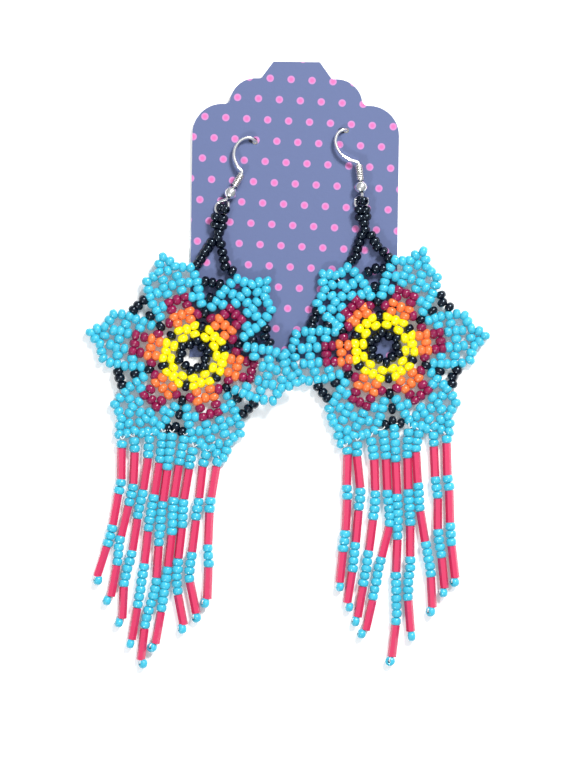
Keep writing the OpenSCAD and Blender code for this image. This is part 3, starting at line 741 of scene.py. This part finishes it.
def string_beads(name, beads, seed, node, tidy=1.0, shoulder=NET_SHOULDER):
    """One piece with all the beads of a string or a part of the net."""
    sizes = bpy.context.scene.bead_sizes
    cloud = bpy.data.meshes.new(name + "_places")
    cloud.from_pydata([bead.place * MM for bead in beads], [], [])
    for field in ("bore", "size"):
        vectors = cloud.attributes.new(field, "FLOAT_VECTOR", "POINT")
        vectors.data.foreach_set("vector", [value for bead in beads for value in getattr(bead, field)])
    glaze = cloud.attributes.new("glaze", "INT", "POINT")
    glaze.data.foreach_set("value", [GLAZES.index(bead.glaze) for bead in beads])
    values = {
        "Bead Width": sizes.width, "Bead Length": sizes.length, "Bore": sizes.bore,
        "Bugle Width": sizes.bugle_width, "Bugle Length": sizes.bugle_length,
        "Sides": sizes.sides, "Bugle Sides": sizes.bugle_sides, "Size Spread": sizes.size_spread,
        "Tilt Spread": sizes.tilt_spread * tidy, "Drift": sizes.drift * tidy,
        "Squareness": shoulder, "Seed": seed,
    }
    values.update({glaze_name.title(): glass(glaze_name) for glaze_name in GLAZES})
    piece = grown(name, cloud, tree_named("Bead Stringing", stringing_tree), values)
    settle(piece, (node,))


def turned(degrees, axis="Z"):
    """A turn about one axis."""
    return Matrix.Rotation(math.radians(degrees), 4, axis)


def bead_radius():
    """Half a seed bead's width, in millimetres."""
    return bpy.context.scene.bead_sizes.width / MM / 2


def in_flower(flower, petal=None):
    """The matrix that puts a point of a flower, or of one of its petals, in its place."""
    place = Matrix.Translation((flower.x, flower.y, FLOWER_LIFT)) @ turned(LEAN, "X")
    if petal is None:
        return place
    slid = Matrix.Translation((*petal.slide, 0))
    hinge = Matrix.Translation((2 * bead_radius() * math.sin(math.radians(max(0, petal.lift))), 0, 0))
    return place @ slid @ turned(petal.heading) @ hinge @ turned(-petal.lift, "Y")


def net_point(petal, name, along, across, side):
    """Where a charted bead lies on a stretched petal, to one side of its midline."""
    share = min(1.0, max(0.0, (along - STRETCH_FROM) / STRETCH_OVER))
    along += petal.stretch * share
    if side < 0:
        along += petal.flare * share * across / HALF_WIDTH
    if name == TUCKED:
        tuck = petal.tucks[0 if side > 0 else 1]
        along += tuck * CORNER_TUCK[0]
        across += tuck * CORNER_TUCK[1]
    return Vector((along, side * across, bead_radius()))


def petal_beads(flower, petal, names):
    """The charted beads of one petal whose names start with one of the letters."""
    raised = in_flower(flower, petal)
    level = in_flower(flower, petal._replace(lift=0))
    beads = {}
    for name, glaze, along, across, lean in NET:
        if name[0] not in names:
            continue
        matrix = raised if glaze == "turquoise" else level
        for side in ((1, -1) if across else (1,)):
            place = matrix @ net_point(petal, name, along, across, side)
            beads[name, side] = Bead(place, matrix.to_3x3() @ polar(1, side * lean), glaze, NET_SIZE)
    return beads


def polar(radius, heading, height=0):
    """A point by its radius and heading."""
    angle = math.radians(heading)
    return Vector((radius * math.cos(angle), radius * math.sin(angle), height))


def black(matrix, place, heading):
    """A black bead with its bore along a heading."""
    return Bead(matrix @ place, matrix.to_3x3() @ polar(1, heading), "jet", JET_SIZE)


def spokes(flower):
    """Each spoke's heading, its place in the flower, and the petals before and after it."""
    for number, petal in enumerate(flower.petals):
        after = flower.petals[(number + 1) % len(flower.petals)]
        sector = (petal.heading - after.heading) % 360
        slide = (Vector(petal.slide) + Vector(after.slide)) / 2
        place = in_flower(flower) @ Matrix.Translation((*slide, 0))
        yield after.heading + sector / 2, place, petal, after


def ring_beads(flower):
    """The twelve beads round the eye: one on each petal's midline and one on each spoke."""
    places = [(petal.heading, RING_RADII[0]) for petal in flower.petals]
    places += [(spoke[0], RING_RADII[1]) for spoke in spokes(flower)]
    return [
        black(in_flower(flower), polar(radius, heading, bead_radius()), heading + 90)
        for heading, radius in places
    ]


def spoke_beads(flower):
    """The two black beads of each spoke that lie in the flower's centre."""
    return [
        black(matrix, polar(radius, heading, bead_radius()), heading + 90)
        for heading, matrix, _, _ in spokes(flower) for radius in SPOKE_RADII
    ]


def link_beads(flower):
    """The bead in each notch between two petals, and the bridge of three beads beyond it."""
    beads = []
    for (heading, matrix, before, after), (bow, off, aside) in zip(spokes(flower), flower.bows):
        rises = [NOTCH_RADIUS * math.tan(math.radians(max(p.lift, 0))) for p in (after, before)]
        notch = turned(heading) @ Vector((NOTCH_RADIUS, aside, bead_radius() + max(rises) / 3))
        beads.append(black(matrix, notch, heading + 90))
        lean = math.degrees(math.atan2(bow, BRIDGE_STEP))
        for number in (-1, 0, 1):
            rise = rises[0] * (1 - number) / 2 + rises[1] * (1 + number) / 2
            radius = BRIDGE_RADIUS + (bow if number == 0 else 0)
            place = turned(heading) @ Vector((radius, off + number * BRIDGE_STEP, bead_radius() + rise))
            beads.append(black(matrix, place, heading + 90 + lean * number))
    return beads


def step_down(lean, length=1.0):
    """A step along a strand that leans so many degrees from straight down."""
    angle = math.radians(lean)
    return Vector((math.sin(angle), -math.cos(angle), 0)) * length


def eased(a, b, u, v, f):
    """The place at a share of the way along a curve from a to b that leaves along u and arrives along v."""
    length = (b - a).length
    g, h = f * f, f * f * f
    ends = (2 * h - 3 * g + 1) * a + (h - 2 * g + f) * length * u
    return ends + (3 * g - 2 * h) * b + (h - g) * length * v


def strand_beads(strand, number):
    """Runs of seed beads, each with its bugle, and the last bead turned across the thread."""
    sizes = bpy.context.scene.bead_sizes
    pitch = sizes.pitch / MM
    radius = bead_radius() * RUN_SIZE[0] * (1 + sizes.size_spread) + sizes.drift / MM * FLAT_DRIFT
    size = (*RUN_SIZE[:2], RUN_SIZE[2] * strand.slack)
    first = MIDDLE_STRAND - abs(number - MIDDLE_STRAND)
    here = Vector((strand.x, strand.y + pitch / 2, radius))
    beads = []
    enter = step_down(strand.leans[0])
    for run, count in enumerate((first, first + 1, first + 2)):
        there = here + step_down(strand.leans[2 * run], strand.slack * count * pitch)
        leave = step_down(strand.leans[2 * run + 1])
        curve = (here, there, enter, leave)
        for bead in range(count):
            share = (bead + 0.5) / count
            place = eased(*curve, share)
            bore = eased(*curve, min(1, share + BORE_STEP)) - eased(*curve, share - BORE_STEP)
            if run == 0:
                place.z += strand.rise * (1 - share) ** RISE_POWER
            beads.append(Bead(place, bore.normalized(), "turquoise", size))
        enter = leave
        here = there + leave * strand.slack * BUGLE_PITCH
        middle = (there + here) / 2
        middle.z = (radius + sizes.bugle_width / MM / 2) / 2
        beads.append(Bead(middle, leave.copy(), "coral", (1, 1, strand.slack)))
    up = Vector((0, 0, 1))
    turn = math.radians(strand.turn)
    bore = enter.cross(up) * math.cos(turn) + up * math.sin(turn)
    end = here + enter * math.sqrt(END_BEAD_AT ** 2 - (strand.aside * END_SLIP) ** 2)
    beads.append(Bead(end + Vector((strand.aside, 0, 0)), bore, "turquoise", END_SIZE))
    return beads


def on_card(point, lift=0.0):
    """Where the middle of a bead lies that rests on the card, or stands off it."""
    x, y = point
    face = CARD_THICK + (y - CARD_FOOT) * math.tan(math.radians(LEAN))
    return Vector((x, y, face + ON_CARD + lift))


def column_beads(places, size=JET_SIZE):
    """Black beads along a short list of places."""
    beads = []
    for number, place in enumerate(places):
        step = places[min(number + 1, len(places) - 1)] - places[max(number - 1, 0)]
        beads.append(Bead(place, step.normalized(), "jet", size))
    return beads


def hanger_beads(hanger):
    """The whole black string of one earring."""
    pair = [Vector((*point, height)) for point, height in zip(hanger.pair, PAIR_HEIGHTS)]
    beads = column_beads(pair, PAIR_SIZE)
    for column in hanger.columns:
        beads += column_beads([on_card(point, lift) for point, lift in zip(column, ROW_LIFTS)])
    for run in (hanger.stem, *hanger.legs):
        beads += column_beads([on_card(point) for point in run])
    return beads


def net_runs(flower):
    """The thread's runs through the petals, and the places where the fringe may start."""
    runs = []
    anchors = [bead.place for bead in link_beads(flower)]
    for petal in flower.petals:
        beads = petal_beads(flower, petal, CENTRE_NAMES + PETAL_NAMES)
        anchors += [bead.place for (name, _), bead in beads.items() if name[0] in ANCHOR_NAMES]
        for path in THREADS:
            for half in (1, -1):
                runs.append([(beads.get((name, half)) or beads[name, 1]).place for name in path])
    return runs, anchors


def strand_runs(beads, anchors):
    """The thread's runs from the net to a strand's first bead, and round its last one."""
    bow = Vector((0, 0, THREAD_BOW))
    top = beads[0].place - beads[0].bore * bead_radius() * THREAD_TOP
    nearest = sorted(anchors, key=lambda place: (place - top).length)[:2]
    runs = [[top, (top + place) / 2 + bow, place] for place in nearest]
    end = beads[-1]
    foot = end.place - (end.place - beads[-2].place).normalized() * bead_radius()
    for turn in (1, -1):
        rim = end.place + end.bore * turn * THREAD_RIM
        shoulder = (foot + rim) / 2 + end.bore * turn * THREAD_SHOULDER + bow / 3
        runs.append([foot, shoulder, rim, end.place])
    return runs


def smooth_route(points, steps):
    """Catmull-Rom points through a route."""
    points = [Vector(p) for p in points]
    last = len(points) - 1
    route = []
    for i in range(last):
        p0, p1, p2, p3 = points[max(i - 1, 0)], points[i], points[i + 1], points[min(i + 2, last)]
        for step in range(steps):
            f = step / steps
            route.append(0.5 * (
                2 * p1 + f * (p2 - p0) + f * f * (2 * p0 - 5 * p1 + 4 * p2 - p3)
                + f ** 3 * (3 * p1 - p0 - 3 * p2 + p3)
            ))
    return route + [points[last]]


def swept_wire(name, route, radius, flat_at):
    """A round wire along a route, hammered flatter at one place, with rounded ends."""
    last = len(route) - 1
    stations = []
    for i, place in enumerate(route):
        along = (route[min(i + 1, last)] - route[max(i - 1, 0)]).normalized()
        stations.append((place, along, i / WIRE_STEPS, 1.0))

    def cap(station, sign):
        """The smaller and smaller rings of a rounded end."""
        place, along, at, _ = station
        return [(place + along * sign * radius * math.sin(a), along, at, math.cos(a)) for a in CAP_ANGLES]

    stations = cap(stations[0], -1)[::-1] + stations + cap(stations[-1], 1)
    vertices = []
    up = Vector((0, 0, 1))
    for place, along, at, share in stations:
        up = (up - along * up.dot(along)).normalized()
        across = along.cross(up)
        flat = max(0.0, 1 - abs(at - flat_at) / FLAT_REACH)
        wide = radius * share * (1 + FLAT_WIDER * flat)
        thin = radius * share * (1 - FLAT_THINNER * flat)
        for k in range(WIRE_SIDES):
            angle = 2 * math.pi * k / WIRE_SIDES
            vertices.append(place + up * thin * math.cos(angle) + across * wide * math.sin(angle))
    faces = []
    for start in range(0, (len(stations) - 1) * WIRE_SIDES, WIRE_SIDES):
        for k in range(WIRE_SIDES):
            a, b = start + k, start + (k + 1) % WIRE_SIDES
            faces.append((a, b, b + WIRE_SIDES, a + WIRE_SIDES))
    faces.append(tuple(range(WIRE_SIDES))[::-1])
    faces.append(tuple(range(len(vertices) - WIRE_SIDES, len(vertices))))
    mesh = bpy.data.meshes.new(name)
    mesh.from_pydata([v * MM for v in vertices], [], faces)
    for polygon in mesh.polygons:
        polygon.use_smooth = True
    return added(name, mesh)


def material_named(name, build):
    """The material of that name, built once."""
    return bpy.data.materials.get(name) or build(name)


def new_material(name):
    """An empty node material, its graph and its Principled shader."""
    material = bpy.data.materials.new(name)
    material.use_nodes = True
    material.node_tree.nodes.clear()
    graph = Graph(material.node_tree)
    shader = graph.put("ShaderNodeBsdfPrincipled")
    graph.put("ShaderNodeOutputMaterial", {"Surface": Value(graph, shader.outputs[0])})
    return material, graph, shader


def set_shader(shader, values):
    """Sets constants on the shader's own sockets."""
    for name, value in values.items():
        shader.inputs[name].default_value = value


def finish_tree(name):
    """Uneven glass or print: a colour that wanders between two, with its roughness and bump."""
    graph, given, made = new_tree(name, "ShaderNodeTree", {
        "Colour": (0.5, 0.5, 0.5, 1), "Deep Colour": (0.3, 0.3, 0.3, 1), "Tint": 0.5,
        "Grain Scale": 900.0, "Roughness": 0.2, "Roughness Spread": 0.1, "Bump": 0.05,
    }, {"Colour": "Color", "Roughness": "Float", "Normal": "Vector"})
    value = graph.get("ShaderNodeTexNoise", {
        "Vector": graph.outputs("ShaderNodeTexCoord")["Object"], "Scale": given["Grain Scale"],
        "Detail": 3.0, "Roughness": 0.6,
    })
    share = value * 0.5 + given["Tint"] * 0.5
    graph.feed(made["Colour"], graph.mix(share, given["Deep Colour"], given["Colour"]))
    graph.feed(made["Roughness"], given["Roughness"] + (value - 0.5) * given["Roughness Spread"])
    graph.feed(made["Normal"], graph.get("ShaderNodeBump", {
        "Height": value, "Strength": given["Bump"], "Distance": BUMP_DEPTH,
    }))
    return graph.tree


def uneven(graph, shader, tone, finish, light=1.0, tint=0.5):
    """Puts an uneven finish in a material, joins it to the shader and returns its colour."""
    group = graph.outputs("ShaderNodeGroup", {
        "Colour": rgba(tone, light), "Deep Colour": rgba(tone, finish.deep), "Tint": tint,
        "Grain Scale": finish.grain, "Roughness": finish.rough, "Roughness Spread": finish.spread,
        "Bump": finish.bump,
    }, node_tree=tree_named("Uneven Finish", finish_tree))
    graph.feed(shader.inputs["Base Color"], group["Colour"])
    graph.feed(shader.inputs["Roughness"], group["Roughness"])
    graph.feed(shader.inputs["Normal"], group["Normal"])
    return group["Colour"]


def rgba(value, factor=1.0):
    """A colour with its alpha."""
    return (*(min(1.0, v * factor) for v in value), 1.0)


def glass(name):
    """Opaque glass of one glaze."""

    def build(material_name):
        material, graph, shader = new_material(material_name)
        deep, rough, bump = GLAZE_FINISH[name]
        tint = graph.outputs("ShaderNodeAttribute", attribute_name="tint")["Fac"]
        finish = Finish(deep, GLASS_GRAIN, rough, rough * GLASS_SPREAD, bump)
        uneven(graph, shader, getattr(bpy.context.scene.glazes, name), finish, tint=tint)
        set_shader(shader, {"IOR": GLASS_IOR})
        if name == "jet":
            set_shader(shader, JET_SHINE)
        return material

    return material_named("glass_" + name, build)


def silver(name, tone, rough=SILVER.rough):
    """Polished silver wire with fine drawing marks."""

    def build(material_name):
        material, graph, shader = new_material(material_name)
        uneven(graph, shader, tone, SILVER._replace(rough=rough))
        set_shader(shader, {"Metallic": 1.0})
        return material

    return material_named(name, build)


def thread_material(name):
    """Matt twisted thread."""
    material, graph, shader = new_material(name)
    uneven(graph, shader, bpy.context.scene.glazes.thread, THREAD)
    return material


def dots_tree(name):
    """Masks of round dots in staggered rows, and of their cores."""
    graph, given, made = new_tree(name, "ShaderNodeTree", {
        "Place": (0, 0, 0), "Across": 0.0046, "Down": 0.0046, "Step": 0.5068, "Radius": 0.00081,
        "Softness": 0.00005,
    }, {"Mask": "Float", "Core": "Float"})
    place = graph.outputs("ShaderNodeSeparateXYZ", {"Vector": given["Place"]})
    rows = place["Y"] / given["Down"]
    row = graph.math("ROUND", rows)
    columns = place["X"] / given["Across"] - row * given["Step"]
    x = (columns - graph.math("ROUND", columns)) * given["Across"]
    y = (rows - row) * given["Down"]
    reach = graph.math("SQRT", x * x + y * y)
    for mask_name, (share, soft) in DOT_MASKS.items():
        mask = (given["Radius"] * share - reach) / (given["Softness"] * soft) + 0.5
        mask.socket.node.use_clamp = True
        graph.feed(made[mask_name], mask)
    return graph.tree


def card_material(name):
    """Printed card: dots on a slate lilac ground, bare paper at the edges and on the back."""
    material, graph, shader = new_material(name)
    tones = bpy.context.scene.glazes
    dotted = bpy.context.scene.card_print
    coordinates = graph.outputs("ShaderNodeTexCoord")

    def mapped(**values):
        """The place on the card, measured from another origin."""
        values["Vector"] = coordinates["Object"]
        return graph.get("ShaderNodeMapping", values, vector_type="TEXTURE")

    dots = graph.outputs("ShaderNodeGroup", {
        "Place": mapped(Location=dotted.origin, Rotation=(0, 0, dotted.turn)),
        "Across": dotted.across, "Down": dotted.down, "Radius": dotted.dot_width / 2,
        "Softness": DOT_SOFTNESS,
    }, node_tree=tree_named("Staggered Dots", dots_tree))
    ground = uneven(graph, shader, tones.card, CARD, CARD_LIGHT)
    dot = graph.mix(dots["Core"], rgba(tones.rims), rgba(tones.dots))
    printed = graph.mix(dots["Mask"], ground, dot)
    # Painted shade: a dark patch drawn on the card round each wire, where the pierced hole lies in shade
    for (x, y), (wide, high) in HOLE_SHADES:
        hole_shade = mapped(Location=(x * MM, y * MM, 0), Scale=(wide * MM, high * MM, 1))
        in_hole_shade = graph.math("LESS_THAN", graph.vector("LENGTH", hole_shade), 1.0)
        printed = graph.mix(in_hole_shade, printed, rgba(HOLE_SHADE_TONE))
    normal = graph.outputs("ShaderNodeSeparateXYZ", {"Vector": coordinates["Normal"]})
    front = graph.math("GREATER_THAN", normal["Z"], 0.5)
    graph.feed(shader.inputs["Base Color"], graph.mix(front, rgba(tones.paper), printed))
    return material


def coat(node, material):
    """Gives a solid that stays its material."""
    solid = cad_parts[node]
    solid.data.materials.clear()
    solid.data.materials.append(material)


def lamp(name, place, size, shape, power):
    """An area light that looks at the middle of the card."""
    data = bpy.data.lights.new(name, "AREA")
    data.shape = shape
    data.size = size
    data.energy = power
    item = added(name, data)
    item.location = place
    item.rotation_euler = (-Vector(place)).to_track_quat("-Z", "Y").to_euler()


class EarringOperator:
    """Common settings of the operators"""

    bl_options = {"REGISTER", "UNDO"}


class EARRINGS_OT_card(EarringOperator, bpy.types.Operator):
    """Print the card with its dots"""

    bl_idname = "earrings.card"
    bl_label = "Display card"

    def execute(self, context):
        coat("display_card", material_named("card_stock", card_material))
        return {"FINISHED"}


class EARRINGS_OT_ear_wires(EarringOperator, bpy.types.Operator):
    """Bend both ear wires through the card, the coil and the ball"""

    bl_idname = "earrings.ear_wires"
    bl_label = "Ear wires"

    def execute(self, context):
        metal = silver("silver_wire", context.scene.glazes.silver)
        radius = context.scene.bead_sizes.wire_width / MM / 2
        for side in SIDES:
            route = smooth_route(WIRES[side], WIRE_STEPS)
            wire = swept_wire(side + "_hook", route, radius, FLATS[side])
            wire.data.materials.append(metal)
            settle(wire, (side + "_ear_wire",))
        return {"FINISHED"}


class EARRINGS_OT_coils(EarringOperator, bpy.types.Operator):
    """Wind the coil of fine wire on each shank"""

    bl_idname = "earrings.coils"
    bl_label = "Wire coils"

    def execute(self, context):
        metal = silver("silver_coil", context.scene.glazes.coil, COIL_ROUGH)
        sizes = context.scene.bead_sizes
        for side in SIDES:
            start, end = (Vector(WIRES[side][i]) for i in SHANKS[side])
            axis = (end - start).normalized()
            place = start + axis * COIL_PLACES[side]
            empty = bpy.data.meshes.new(side + "_coil_places")
            coil = grown(side + "_coil", empty, tree_named("Wire Coil", coil_tree), {
                "Width": sizes.coil_width, "Length": sizes.coil_pitch * COIL_TURNS[side],
                "Turns": COIL_TURNS[side], "Wire Width": sizes.coil_pitch * COIL_FILL,
                "Place": place * MM, "Axis": axis, "Material": metal,
            })
            settle(coil, (side + "_wire_coil",))
        return {"FINISHED"}


class EARRINGS_OT_balls(EarringOperator, bpy.types.Operator):
    """Polish the two metal balls"""

    bl_idname = "earrings.balls"
    bl_label = "Ball beads"

    def execute(self, context):
        metal = silver("silver_ball", context.scene.glazes.silver, BALL_ROUGH)
        for side in SIDES:
            coat(side + "_ball_bead", metal)
        return {"FINISHED"}


class EARRINGS_OT_hangers(EarringOperator, bpy.types.Operator):
    """String the black beads that hang each flower from its wire"""

    bl_idname = "earrings.hangers"
    bl_label = "Hangers"

    def execute(self, context):
        for seed, side in enumerate(SIDES, SEEDS["hanger"]):
            beads = hanger_beads(HANGERS[side])
            string_beads(side + "_hanger_beads", beads, seed, side + "_hanger", HANGER_TIDY)
        return {"FINISHED"}


class EARRINGS_OT_flower_centres(EarringOperator, bpy.types.Operator):
    """Net the rings and the yellow, orange and burgundy rounds"""

    bl_idname = "earrings.flower_centres"
    bl_label = "Flower centres"

    def execute(self, context):
        for row, side in enumerate(SIDES):
            flower = FLOWERS[side]
            ring = ring_beads(flower)
            string_beads(side + "_ring_beads", ring, SEEDS["ring"] + row, side + "_centre_ring")
            beads = spoke_beads(flower)
            for petal in flower.petals:
                beads += petal_beads(flower, petal, CENTRE_NAMES).values()
            seed = SEEDS["centre"] + row
            string_beads(side + "_centre_beads", beads, seed, side + "_flower_centre")
        return {"FINISHED"}


class EARRINGS_OT_petals(EarringOperator, bpy.types.Operator):
    """Net the turquoise petals"""

    bl_idname = "earrings.petals"
    bl_label = "Petals"

    def execute(self, context):
        for row, side in enumerate(SIDES):
            for number, petal in enumerate(FLOWERS[side].petals, 1):
                beads = list(petal_beads(FLOWERS[side], petal, PETAL_NAMES).values())
                node = f"{side}_petal_{number}"
                seed = SEEDS["petal"] + SEEDS["side"] * row + number
                string_beads(node + "_beads", beads, seed, node)
        return {"FINISHED"}


class EARRINGS_OT_petal_links(EarringOperator, bpy.types.Operator):
    """Bridge neighbouring petals with black beads"""

    bl_idname = "earrings.petal_links"
    bl_label = "Petal links"

    def execute(self, context):
        for seed, side in enumerate(SIDES, SEEDS["link"]):
            beads = link_beads(FLOWERS[side])
            string_beads(side + "_link_beads", beads, seed, side + "_petal_links")
        return {"FINISHED"}


class EARRINGS_OT_fringe(EarringOperator, bpy.types.Operator):
    """String the fringe: runs of seed beads with three bugles a strand"""

    bl_idname = "earrings.fringe"
    bl_label = "Fringe"

    def execute(self, context):
        for row, side in enumerate(SIDES):
            for number, strand in enumerate(FRINGES[side], 1):
                node = f"{side}_strand_{number}"
                beads = strand_beads(strand, number)
                seed = SEEDS["strand"] + SEEDS["side"] * row + number
                string_beads(node + "_beads", beads, seed, node, FRINGE_TIDY, RUN_SHOULDER)
        return {"FINISHED"}


class EARRINGS_OT_threads(EarringOperator, bpy.types.Operator):
    """Run the white thread through the nets and the fringe"""

    bl_idname = "earrings.threads"
    bl_label = "Threads"

    def execute(self, context):
        for side in SIDES:
            runs, anchors = net_runs(FLOWERS[side])
            for number, strand in enumerate(FRINGES[side], 1):
                runs += strand_runs(strand_beads(strand, number), anchors)
            vertices = []
            edges = []
            for run in runs:
                edges += [(len(vertices) + i, len(vertices) + i + 1) for i in range(len(run) - 1)]
                vertices += [place * MM for place in run]
            mesh = bpy.data.meshes.new(side + "_thread_runs")
            mesh.from_pydata(vertices, edges, [])
            thread = grown(side + "_thread", mesh, tree_named("Beading Thread", thread_tree), {
                "Width": context.scene.bead_sizes.thread_width,
                "Material": material_named("thread", thread_material),
            })
            settle(thread)
        return {"FINISHED"}


class EARRINGS_OT_stage(EarringOperator, bpy.types.Operator):
    """Lay a pale floor, hang soft lights and set the camera straight above"""

    bl_idname = "earrings.stage"
    bl_label = "Stage"

    def execute(self, context):
        scene = context.scene
        lights = scene.stage_lights
        mesh = bpy.data.meshes.new("floor")
        corners = [(x * FLOOR_REACH, y * FLOOR_REACH, 0) for x, y in ((-1, -1), (1, -1), (1, 1), (-1, 1))]
        mesh.from_pydata(corners, [], [(0, 1, 2, 3)])
        floor = added("floor", mesh)
        material, _, shader = new_material("pale_floor")
        set_shader(shader, {
            "Base Color": rgba(lights.floor), "Roughness": 0.9, "Specular IOR Level": 0.1,
            "Emission Color": (1, 1, 1, 1), "Emission Strength": lights.glow,
        })
        mesh.materials.append(material)

        for (name, place, size, shape), power in zip(LAMPS, (lights.soft, lights.key, lights.fill)):
            lamp(name, place, size, shape, power)
        world = bpy.data.worlds.new("room")
        world.use_nodes = True
        room = Graph(world.node_tree)
        background = world.node_tree.nodes["Background"].inputs
        direction = room.outputs("ShaderNodeTexCoord")["Generated"]
        height = room.outputs("ShaderNodeSeparateXYZ", {"Vector": direction})["Z"]
        room.feed(background["Strength"], (height * (1 - lights.dusk) + lights.dusk) * lights.sky)
        background["Color"].default_value = rgba(ROOM_TONE)
        scene.world = world
        scene.view_settings.view_transform = "Standard"

        camera = bpy.data.cameras.new("above")
        camera.sensor_width = SENSOR_WIDTH
        camera.lens = camera.sensor_width * CAMERA_HEIGHT / (VIEW_HEIGHT * MM)
        scene.camera = added("above", camera)
        scene.camera.location = (VIEW_CENTRE[0] * MM, VIEW_CENTRE[1] * MM, CAMERA_HEIGHT)
        return {"FINISHED"}


class EARRINGS_PT_panel(bpy.types.Panel):
    """Lists the pieces in the order in which they are made"""

    bl_label = "Flower Earrings"
    bl_idname = "EARRINGS_PT_panel"
    bl_space_type = "VIEW_3D"
    bl_region_type = "UI"
    bl_category = "Earrings"

    def draw(self, context):
        for operator in OPERATORS:
            self.layout.operator(operator.bl_idname)


GROUPS = {
    "bead_sizes": BeadSizes,
    "glazes": Glazes,
    "card_print": CardPrint,
    "stage_lights": StageLights,
}
OPERATORS = (
    EARRINGS_OT_stage,
    EARRINGS_OT_card,
    EARRINGS_OT_ear_wires,
    EARRINGS_OT_coils,
    EARRINGS_OT_balls,
    EARRINGS_OT_hangers,
    EARRINGS_OT_flower_centres,
    EARRINGS_OT_petals,
    EARRINGS_OT_petal_links,
    EARRINGS_OT_fringe,
    EARRINGS_OT_threads,
)


def register():
    """Registers the settings, the operators and the panel."""
    for name, group in GROUPS.items():
        bpy.utils.register_class(group)
        setattr(bpy.types.Scene, name, bpy.props.PointerProperty(type=group))
    for operator in OPERATORS:
        bpy.utils.register_class(operator)
    bpy.utils.register_class(EARRINGS_PT_panel)


def unregister():
    """Takes them all away again."""
    bpy.utils.unregister_class(EARRINGS_PT_panel)
    for operator in reversed(OPERATORS):
        bpy.utils.unregister_class(operator)
    for name, group in reversed(GROUPS.items()):
        delattr(bpy.types.Scene, name)
        bpy.utils.unregister_class(group)


def main():
    """Makes every piece in order."""
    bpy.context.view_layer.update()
    register()
    for operator in OPERATORS:
        group, name = operator.bl_idname.split(".")
        getattr(getattr(bpy.ops, group), name)()


if __name__ == "__main__":
    main()
